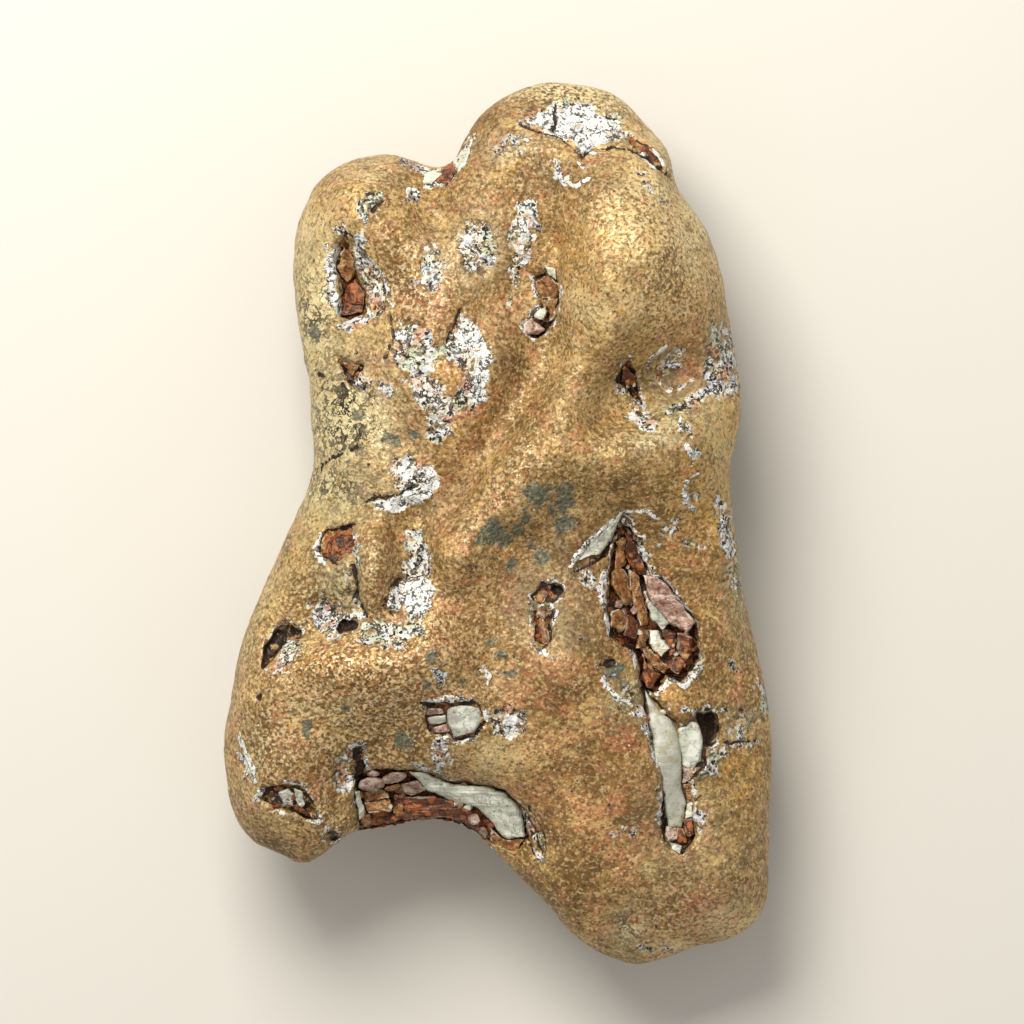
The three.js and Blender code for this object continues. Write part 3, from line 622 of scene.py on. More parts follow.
def skin_masks(points, out):
    """How much of each finish shows at each place, and how far the surface moves out there."""
    count = len(points)
    masks = {name: np.zeros(count) for name in ["quartz", "milk", "rust", "soot_and_painted_shade", "spots", *WASHES]}
    move = np.zeros(count)
    up = facing_up(points, out)
    around = 1 - up
    x, y = wavered(points, *LIP_WAVER)
    worn = smooth(-0.1, 0.35, lumps(points, 2.2, 2, 7))
    for outline, deep, wall, rust, soot_and_painted_shade, pale in CAVITIES.values():
        edge = from_outline(outline, x, y)
        floor = up * smooth(0.1, -wall * 0.6, edge)
        add_largest(masks["rust"], rust * floor)
        # Soot and painted shade on the floor of each cavity.
        add_largest(masks["soot_and_painted_shade"], soot_and_painted_shade * floor)
        # A dark line of soot and painted shade just inside each lip, weaker where worn.
        add_largest(masks["soot_and_painted_shade"], (0.9 - 0.6 * worn) * up * smooth(0.20, 0.06, np.abs(edge - SOOT_AND_SHADE_LINE)))
        add_largest(masks["milk"], pale * (0.6 + worn) * up * smooth(0.28, 0.12, np.abs(edge - PALE_LINE)))
    x, y = wavered(points, *PATCH_WAVER)
    for outline, deep, white in QUARTZ_PATCHES.values():
        edge = from_outline(outline, x, y)
        add_largest(masks["quartz"], white * up * smooth(0.7, -0.6, edge))
        move -= deep * up * smooth(PATCH_EDGE, -PATCH_EDGE, edge)
    for outline, deep in MILK_PATCHES.values():
        inside = up * smooth(PATCH_EDGE, -PATCH_EDGE, from_outline(outline, x, y))
        add_largest(masks["milk"], inside)
        move -= deep * inside
    for at_x, at_y, radius in SPOTS:
        add_largest(masks["spots"], up * SPOT_STRENGTH * within(radius, np.hypot(x - at_x, y - at_y)))
    x, y = wavered(points, *LINE_WAVER)
    for path, half, deep in SEAMS.values():
        inside = up * within(half, from_line(path, x, y))
        add_largest(masks["soot_and_painted_shade"], inside)
        move -= deep * inside
    for path, half in VEINLETS.values():
        inside = up * within(half, from_line(path, x, y))
        add_largest(masks["milk"], inside)
        move += VEINLET_HEIGHT * inside
    for at_x, at_y, long, wide, height, *turn in FOLDS.values():
        move += height * up * hill(x, y, at_x, at_y, long, wide, *turn)
    x, y = wavered(points, *WASH_WAVER)
    for name, washes in WASHES.items():
        for at_x, at_y, long, wide, strength, *turn in washes:
            add_largest(masks[name], up * strength * hill(x, y, at_x, at_y, long, wide, *turn))
    worn_through = smooth(0.34, 0.54, lumps(points, SIDE_QUARTZ_SIZE, 2, 41))
    add_largest(masks["quartz"], around * SIDE_QUARTZ_WHITE * worn_through)
    for seed, (name, (size, strength)) in enumerate(SIDE_PATCHES.items(), 43):
        add_largest(masks[name], around * strength * smooth(0.1, 0.55, lumps(points, size, 2, seed)))
    hollow = around * smooth(0.1, 0.5, strewn(points, SIDE_CAVITY_SPACING, SIDE_CAVITY_RADIUS, 5.1, 0.45)
                             + 0.25 * lumps(points, 1.6, 2, 53))
    move -= SIDE_CAVITY_DEPTH * hollow
    add_largest(masks["rust"], 0.9 * hollow)
    # Soot and painted shade round the walls of the side hollows.
    add_largest(masks["soot_and_painted_shade"], 0.6 * smooth(0.5, 0.1, np.abs(hollow - 0.5)) * around)
    return masks, move


def skin_relief(points, masks):
    """The fine ground: waves and pits in the metal, and sharp grains where quartz or vein rock shows."""
    move = sum(height * lumps(points, size, 1, 60 + k) for k, (size, height) in enumerate(WAVES))
    move += GRAIN_HEIGHT * lumps(points, GRAIN_SIZE, 2, 70)
    move += masks["quartz"] * CRYSTAL_HEIGHT * (crystals(points, CRYSTAL_SIZE, 3.3) - 0.5)
    move += masks["rust"] * BROKEN_HEIGHT * (crystals(points, BROKEN_SIZE, 8.1) - 0.5)
    bare = 1 - np.maximum(np.maximum(masks["quartz"], masks["milk"]), masks["rust"])
    return move - bare * PIT_DEPTH * strewn(points, PIT_SPACING, PIT_RADIUS, 2.7, 0.5) ** 2


for _ in range(2):
    points, faces = split_long_edges(points, faces, longest_edge_broken, 0.5)
out = outward(points, faces)
masks, moved = skin_masks(points, out)
moved += skin_relief(points, masks)
points = points + out * (moved * smooth(0.0, STILL_BELOW, points[:, 2]))[:, None]
points[:, 2] = np.maximum(points[:, 2], 0)


def mesh_piece(name, points, faces, materials, even=True, **attributes):
    """A piece of the nugget from corners in millimetres and faces, riding on its one body."""
    mesh = bpy.data.meshes.new(name)
    mesh.from_pydata((np.asarray(points) * MM).tolist(), [], np.asarray(faces).tolist())
    mesh.polygons.foreach_set("use_smooth", [even] * len(mesh.polygons))
    for material in materials:
        mesh.materials.append(material)
    for attribute, values in attributes.items():
        stored = mesh.attributes.new(attribute, "FLOAT", "POINT").data
        stored.foreach_set("value", np.asarray(values, np.float32))
    made = bpy.data.objects.new(name, mesh)
    bpy.context.scene.collection.objects.link(made)
    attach(made, "root")
    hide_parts("nugget")
    return made


def linear(hexcode):
    """An sRGB colour such as #B08A55 as the linear colour that the shaders take."""
    values = [int(hexcode[k:k + 2], 16) / 255 for k in (1, 3, 5)]
    return (*[v / 12.92 if v <= 0.04045 else ((v + 0.055) / 1.055) ** 2.4 for v in values], 1.0)


def node(tree, kind, inputs=None, **settings):
    """Adds a shader node with its settings; inputs are values for its sockets, or what feeds them."""
    made = tree.nodes.new("ShaderNode" + kind)
    for name, value in settings.items():
        setattr(made, name, value)
    for socket, value in (inputs or {}).items():
        if isinstance(value, bpy.types.Node):
            value = value.outputs[0]
        if isinstance(value, bpy.types.NodeSocket):
            tree.links.new(value, made.inputs[socket])
        else:
            made.inputs[socket].default_value = value
    return made


def empty_material(name):
    """A new material and its node tree, bare of nodes."""
    material = bpy.data.materials.new(name)
    material.use_nodes = True
    material.node_tree.nodes.clear()
    return material, material.node_tree


def pattern(tree, kind, size):
    """An uneven pattern size millimetres across, about 0.5, or 0 along veins and squiggles and in dots."""
    label = f"{kind} {size}"
    if label in tree.nodes:
        return tree.nodes[label]
    where = {"Vector": node(tree, "TexCoord").outputs["Object"], "Scale": 1 / (size * MM)}
    if kind == "dots":
        made = node(tree, "TexVoronoi", where, name=label)
    elif kind == "blots":
        made = node(tree, "TexNoise", {**where, "Detail": 1.0}, name=label)
    else:
        made = node(tree, "TexNoise", {**where, "Detail": 3.0, "Roughness": 0.6}, name=label)
    if kind in ("veins", "squiggles"):
        made.name = "under " + label
        made = node(tree, "Math", {0: made, 1: 0.5}, operation="SUBTRACT")
        made = node(tree, "Math", {0: made}, operation="ABSOLUTE", name=label)
    if kind == "squiggles":
        made.name = "whole " + label
        broken = node(tree, "Math", {0: pattern(tree, "blots", size * 1.3), 1: -0.12, 2: made},
                      operation="MULTIPLY_ADD")
        made = node(tree, "Math", {0: broken, 1: 0.06}, operation="ADD", name=label)
    return made


# Places of the Mix node's sockets for colours.
SHARE, UNDER, OVER, MIXED = 0, 6, 7, 2


def paint(tree, finish, masks=None):
    """The colour of a finish: its base, then each layer where its pattern passes from first to second."""
    colour, layers = linear(finish[0]), finish[1]
    for hexcode, kind, size, first, second, strength, *only in layers:
        share = node(tree, "MapRange", {"Value": pattern(tree, kind, size), "From Min": first,
                                        "From Max": second, "To Max": strength},
                     interpolation_type="SMOOTHSTEP")
        for mask in only:
            share = node(tree, "Math", {0: share, 1: masks[mask]}, operation="MULTIPLY")
        colour = node(tree, "Mix", {SHARE: share, UNDER: colour, OVER: linear(hexcode)},
                      data_type="RGBA").outputs[MIXED]
    return colour


# Each finish is its base colour and its layers: colour, pattern, its size, where it starts and where it is
# full, how strong it is, and the mask that it keeps to, if any.

# Tarnished domeykite, a tin-white copper arsenide that air and water have coated tan, bronze and brown. The
# film is thick and dull after its long wear in water, so it shines like worn leather more than like metal.
# Its granular face shows as small bright grains, partly painted glints on them, and darker pores.
METAL = ("#9F7B43", [
    ("#DAB876", "clouds", 4.5, 0.44, 0.64, 0.75),
    ("#6E5429", "clouds", 3.3, 0.50, 0.63, 0.80),
    ("#B87B56", "clouds", 2.3, 0.51, 0.62, 0.70),
    ("#705228", "clouds", 1.2, 0.51, 0.60, 0.70),
    ("#BC6C45", "clouds", 1.6, 0.36, 0.58, 0.85, "copper"),
    ("#C6B87A", "clouds", 1.7, 0.26, 0.54, 0.90, "yellow"),
    ("#5C4A20", "clouds", 1.9, 0.36, 0.56, 0.85, "olive"),
    ("#DDAA50", "clouds", 1.5, 0.34, 0.60, 0.80, "gold"),
    # Pale tarnish with painted light, where the cream washes lie.
    ("#EEDBA4", "clouds", 2.6, 0.28, 0.52, 0.80, "cream_and_painted_light"),
    ("#E4CE9A", "blots", 0.42, 0.52, 0.64, 0.45),
    ("#5F4418", "blots", 0.44, 0.48, 0.38, 0.62),
    ("#F2E0B4", "blots", 0.40, 0.53, 0.59, 0.85, "sandy"),
    ("#4A3010", "blots", 0.38, 0.47, 0.41, 0.90, "sandy"),
    # Pale grains, partly painted glints of light on the grains.
    ("#F2DEAE", "dots", 0.6, 0.28, 0.10, 0.40),
    ("#4A300E", "dots", 0.7, 0.22, 0.10, 0.85),
    ("#5A3E14", "dots", 0.45, 0.34, 0.16, 0.45),
    # Dark brown tarnish with painted shade, where the umber washes lie.
    ("#3E2610", "clouds", 2.1, 0.25, 0.52, 0.80, "umber_and_painted_shade"),
    ("#FFF4DC", "dots", 2.4, 0.055, 0.03, 0.80),
    ("#E4DAAE", "squiggles", 0.9, 0.13, 0.05, 0.75, "squiggles"),
    ("#1A160F", "squiggles", 1.0, 0.030, 0.015, 0.9, "squiggles"),
    ("#1A160F", "squiggles", 1.8, 0.036, 0.020, 1.0, "squiggles"),
])
METAL_SHARE = 0.26
ROUGHEST, SMOOTHEST = 0.62, 0.42
UMBER_AND_SHADE_ROUGHER = 0.4
# How much rougher the surface is under the umber washes of tarnish and painted shade.
# Heights of the bumps in metres.
COARSE_BUMP, FINE_BUMP, BLOCK_BUMP = 0.00045, 0.00018, 0.0002

# Sugary vein quartz: milky where its grains are crushed, bluish where it is thick, with specks of ore and
# rust.
QUARTZ = ("#E4E2DA", [
    ("#BECAD8", "clouds", 1.6, 0.46, 0.62, 0.80),
    ("#B7C29C", "clouds", 3.3, 0.50, 0.62, 0.70),
    ("#C48A68", "clouds", 2.3, 0.55, 0.65, 0.80),
    ("#A58A58", "clouds", 0.9, 0.53, 0.63, 0.80),
    ("#57462C", "blots", 0.55, 0.455, 0.385, 0.85),
    ("#1C1610", "blots", 0.50, 0.40, 0.36, 1.0),
    ("#1C1610", "squiggles", 1.0, 0.026, 0.013, 0.95),
])

# Milky vein quartz where its own smooth face lies bare: bluish white, with few dark lines and faint rust.
MILK_QUARTZ = ("#D4D7D8", [
    ("#F2F2EE", "clouds", 1.4, 0.42, 0.56, 0.90),
    ("#B9C3CE", "clouds", 0.8, 0.52, 0.62, 0.70),
    ("#B79A74", "clouds", 1.9, 0.58, 0.68, 0.60),
    ("#3A3024", "blots", 0.50, 0.39, 0.34, 0.85),
    ("#26201A", "squiggles", 1.2, 0.030, 0.014, 0.9),
])

# A thin film of grey-green copper minerals, left where a grain of richer ore weathered.
SPOT_FILM = ("#5E6150", [
    ("#908666", "blots", 0.45, 0.50, 0.60, 0.75),
    ("#403A2C", "blots", 0.50, 0.47, 0.39, 0.65),
])

# Vein rock soaked with rust: quartz and clay stained by limonite and hematite, broken rough.
VEIN_ROCK = ("#5E2C14", [
    ("#A85C2A", "clouds", 1.2, 0.42, 0.60, 0.90),
    ("#C99058", "clouds", 0.45, 0.56, 0.68, 0.60),
    ("#1C120A", "clouds", 0.5, 0.44, 0.36, 0.80),
    ("#1C120A", "veins", 1.6, 0.030, 0.010, 0.90),
])

# The dark film of copper and iron oxides that settles in the deepest cracks, and painted shade in cracks,
# seams, pit floors and along the lips.
SOOT_AND_SHADE = ("#241810", [("#4A3020", "clouds", 0.6, 0.50, 0.64, 0.80)])


def skin_material():
    """The one finish of the worn outside: metal, quartz, vein rock, soot and painted shade, by the masks."""
    material, tree = empty_material("tarnished_domeykite_and_quartz")
    painted = {name: node(tree, "Attribute", attribute_name=name).outputs["Fac"] for name in masks}
    coarse, fine = pattern(tree, "clouds", 1.6), pattern(tree, "blots", 0.40)
    ragged = node(tree, "Math", {0: coarse, 1: pattern(tree, "clouds", 0.7)}, operation="ADD")
    ragged = node(tree, "Math", {0: ragged, 1: 1.6, 2: -1.6}, operation="MULTIPLY_ADD")
    colour = paint(tree, METAL, painted)
    stone = 0.0
    over_metal = {"spots": SPOT_FILM, "quartz": QUARTZ, "milk": MILK_QUARTZ, "rust": VEIN_ROCK, "soot_and_painted_shade": SOOT_AND_SHADE}
    for name, finish in over_metal.items():
        shown = node(tree, "Math", {0: ragged, 1: painted[name]}, operation="ADD")
        shown = node(tree, "MapRange", {"Value": shown, "From Min": 0.4, "From Max": 0.6},
                     interpolation_type="SMOOTHSTEP")
        colour = node(tree, "Mix", {SHARE: shown, UNDER: colour, OVER: paint(tree, finish)},
                      data_type="RGBA").outputs[MIXED]
        stone = node(tree, "Math", {0: stone, 1: shown}, operation="MAXIMUM")
    # Under the umber washes of tarnish and painted shade the surface is duller: less metallic, rougher.
    dull = node(tree, "Math", {0: stone, 1: painted["umber_and_painted_shade"]}, operation="MAXIMUM")
    metallic = node(tree, "MapRange", {"Value": dull, "To Min": METAL_SHARE, "To Max": 0.0})
    roughness = node(tree, "MapRange", {"Value": fine, "From Min": 0.35, "From Max": 0.65,
                                        "To Min": ROUGHEST, "To Max": SMOOTHEST})
    roughness = node(tree, "Math", {0: painted["umber_and_painted_shade"], 1: UMBER_AND_SHADE_ROUGHER, 2: roughness},
                     operation="MULTIPLY_ADD", use_clamp=True)
    grainy = node(tree, "MapRange", {"Value": stone, "To Min": 0.4, "To Max": 1.0})
    bump = node(tree, "Bump", {"Height": coarse, "Distance": COARSE_BUMP, "Strength": 0.6})
    bump = node(tree, "Bump", {"Height": fine, "Distance": FINE_BUMP, "Strength": grainy, "Normal": bump})
    surface = node(tree, "BsdfPrincipled", {"Base Color": colour, "Metallic": metallic,
                                            "Roughness": roughness, "Normal": bump})
    node(tree, "OutputMaterial", {"Surface": surface})
    return material


mesh_piece("nugget_skin", points, faces, [skin_material()], **masks)


# --- Blocks of vein rock in the cavities ----------------------------------------------------------
# What the stream left of the vein: angular blocks of rusty, tan and pinkish quartz rock, and smooth slabs
# of milky quartz, still fast in the cavities where they formed. Each stands on its cavity's floor, and its
# top follows the face of the nugget as it was before the cavity broke out.

BLOCK_EDGE = 0.4
BLOCK_TAPER = 0.95
BLOCK_SPREAD = 1.08
BLOCK_FOOT = 0.5
BLOCK_DEEPEST = 3.5
RING_STEP = 0.45
RING_WAVER = 1.4, 0.22, 81
RING_JITTER = 0.05
BLOCK_ROUGH = 0.2
BLOCK_SMOOTH = 0.04
# A block that is worn more than this is smooth.
WORN_SMOOTH = 0.5
# A block's pale selvage ends this far from its lip, is full within the next distance, and fades over the
# last one towards the block's foot.
SELVAGE_ENDS, SELVAGE_FULL, SELVAGE_FADE = 0.3, 0.1, 0.6
# Only a block with this many corners round it is large enough to have kept its pale selvage.
SELVAGE_CORNERS = 10

floor_below = BVHTree.FromPolygons(points.tolist(), faces.tolist())


def height_of(surface, x, y):
    """The height of a surface seen from above, in millimetres, or 0 beside it."""
    hit = surface.ray_cast(Vector((x, y, 60)), Vector((0, 0, -1)))[0]
    return hit.z if hit else 0.0


def block(outline, sunk, tilt, worn, chance):
    """A block whose top lies sunk millimetres below the nugget's old face, and tilted from it."""
    closed = list(zip(outline, outline[1:] + outline[:1]))
    if sum(x0 * y1 - x1 * y0 for (x0, y0), (x1, y1) in closed) < 0:
        closed = [(b, a) for a, b in reversed(closed)]
    ring = []
    for (x0, y0), (x1, y1) in closed:
        pieces = max(1, round(math.hypot(x1 - x0, y1 - y0) / RING_STEP))
        for k in range(pieces):
            x, y = x0 + (x1 - x0) * k / pieces, y0 + (y1 - y0) * k / pieces
            ring.append([at + chance.uniform(-RING_JITTER, RING_JITTER) for at in (x, y)])
    middle_x, middle_y = (sum(values) / len(ring) for values in zip(*ring))
    ring = [(middle_x + (x - middle_x) * BLOCK_SPREAD, middle_y + (y - middle_y) * BLOCK_SPREAD)
            for x, y in ring]
    ring = list(zip(*wavered(np.array([(x, y, 0) for x, y in ring]), *RING_WAVER)))
    level = height_of(whole, middle_x, middle_y) - sunk
    foot = max(min(height_of(floor_below, x, y) for x, y in ring) - BLOCK_FOOT, level - BLOCK_DEEPEST)
    bottom = [(x, y, foot) for x, y in ring]
    top = []
    for x, y in ring:
        dx, dy = (x - middle_x) * BLOCK_TAPER, (y - middle_y) * BLOCK_TAPER
        above = height_of(whole, middle_x + dx, middle_y + dy) - sunk + tilt[0] * dx + tilt[1] * dy
        top.append((middle_x + dx, middle_y + dy, max(above, foot + BLOCK_FOOT)))
    n = len(ring)
    triangles = [(k, (k + 1) % n, n + (k + 1) % n) for k in range(n)]
    triangles += [(k, n + (k + 1) % n, n + k) for k in range(n)]
    for a, b, c in tessellate_polygon([[Vector((x, y, 0)) for x, y in ring]]):
        (ax, ay), (bx, by), (cx, cy) = ring[a], ring[b], ring[c]
        if (bx - ax) * (cy - ay) < (by - ay) * (cx - ax):
            b, c = c, b
        triangles += [(c, b, a), (n + a, n + b, n + c)]
    made, triangles = np.array(bottom + top), np.array(triangles)
    for _ in range(3):
        made, triangles = split_long_edges(made, triangles, lambda middle, out: BLOCK_EDGE, worn * 0.4)
    made = relax(made, triangles, 4 if worn > WORN_SMOOTH else 1, grow=0)
    lip = from_line(ring + ring[:1], made[:, 0], made[:, 1])
    pale = smooth(SELVAGE_ENDS, SELVAGE_FULL, lip) * (n >= SELVAGE_CORNERS)
    pale *= smooth(foot + BLOCK_FOOT, foot + BLOCK_FOOT + SELVAGE_FADE, made[:, 2])
    rough = BLOCK_SMOOTH if worn > WORN_SMOOTH else BLOCK_ROUGH
    made = made + outward(made, triangles) * (rough * lumps(made, 0.8, 3, chance.randint(0, 40)))[:, None]
    return made, triangles, pale, np.full(len(made), chance.random())


# Iron-stained quartz rock, browner rock with its iron washed thinner, quartz pink with fine hematite, milky
# vein quartz with a waxy face, and quartz greened by copper: base and layers as on the skin, roughness, and
# how plain the pale selvage is round it.
RUST, TAN, PINK, MILK, GREEN = range(5)
ROCKS = [
    ("rusty_vein_rock", ("#6A3616", [("#A8602C", "clouds", 1.0, 0.45, 0.60, 0.90),
                                     ("#2A170C", "clouds", 0.5, 0.46, 0.38, 0.80),
                                     ("#1C120A", "veins", 1.0, 0.028, 0.010, 0.80)]), 0.5, 0.3),
    ("tan_vein_rock", ("#8A5E32", [("#BE925C", "clouds", 1.2, 0.44, 0.60, 0.90),
                                   ("#8A4A24", "clouds", 0.9, 0.52, 0.64, 0.80),
                                   ("#33220F", "clouds", 0.5, 0.44, 0.36, 0.70),
                                   ("#2A1C10", "veins", 1.1, 0.024, 0.010, 0.80)]), 0.5, 0.7),
    ("pink_vein_quartz", ("#9C7E70", [("#CDB6AA", "clouds", 1.0, 0.42, 0.58, 0.90),
                                      ("#7A4630", "clouds", 0.6, 0.46, 0.38, 0.80),
                                      ("#4A3028", "veins", 0.9, 0.020, 0.008, 0.60)]), 0.45, 0.8),
    ("milky_vein_quartz", ("#CDD0C2", [("#EAEAE2", "clouds", 2.4, 0.46, 0.62, 0.90),
                                       ("#B9B088", "clouds", 1.8, 0.54, 0.66, 0.60),
                                       ("#8C8A78", "clouds", 0.5, 0.42, 0.34, 0.50)]), 0.3, 0.8),
    ("green_vein_quartz", ("#C2C8B8", [("#E8EBE2", "clouds", 1.4, 0.46, 0.62, 0.90),
                                       ("#A79A9E", "clouds", 1.0, 0.54, 0.66, 0.60),
                                       ("#5A5C4C", "veins", 1.6, 0.016, 0.006, 0.60)]), 0.32, 0.8),
]
# The thin pale selvage of quartz round a block, and how dark and how light a block can be.
SELVAGE = "#DAD6C4"
BLOCK_TONES = 0.72, 1.08


def rock_material(name, finish, roughness, selvage):
    """Broken rock with a pale selvage round its top and a tone of its own for each block."""
    material, tree = empty_material(name)
    tone = node(tree, "Attribute", attribute_name="tone").outputs["Fac"]
    tone = node(tree, "MapRange", {"Value": tone, "To Min": BLOCK_TONES[0], "To Max": BLOCK_TONES[1]})
    colour = node(tree, "VectorMath", {0: paint(tree, finish), 1: tone}, operation="MULTIPLY")
    pale = node(tree, "Attribute", attribute_name="pale").outputs["Fac"]
    pale = node(tree, "Math", {0: pattern(tree, "clouds", 0.9), 1: 1.6, 2: pale}, operation="MULTIPLY_ADD")
    pale = node(tree, "MapRange", {"Value": pale, "From Min": 1.7, "From Max": 1.9, "To Max": selvage},
                interpolation_type="SMOOTHSTEP")
    colour = node(tree, "Mix", {SHARE: pale, UNDER: colour, OVER: linear(SELVAGE)},
                  data_type="RGBA").outputs[MIXED]
    bump = node(tree, "Bump", {"Height": pattern(tree, "clouds", 0.5), "Distance": BLOCK_BUMP,
                               "Strength": roughness})
    surface = node(tree, "BsdfPrincipled", {"Base Color": colour, "Roughness": roughness, "Normal": bump})
    node(tree, "OutputMaterial", {"Surface": surface})
    return material


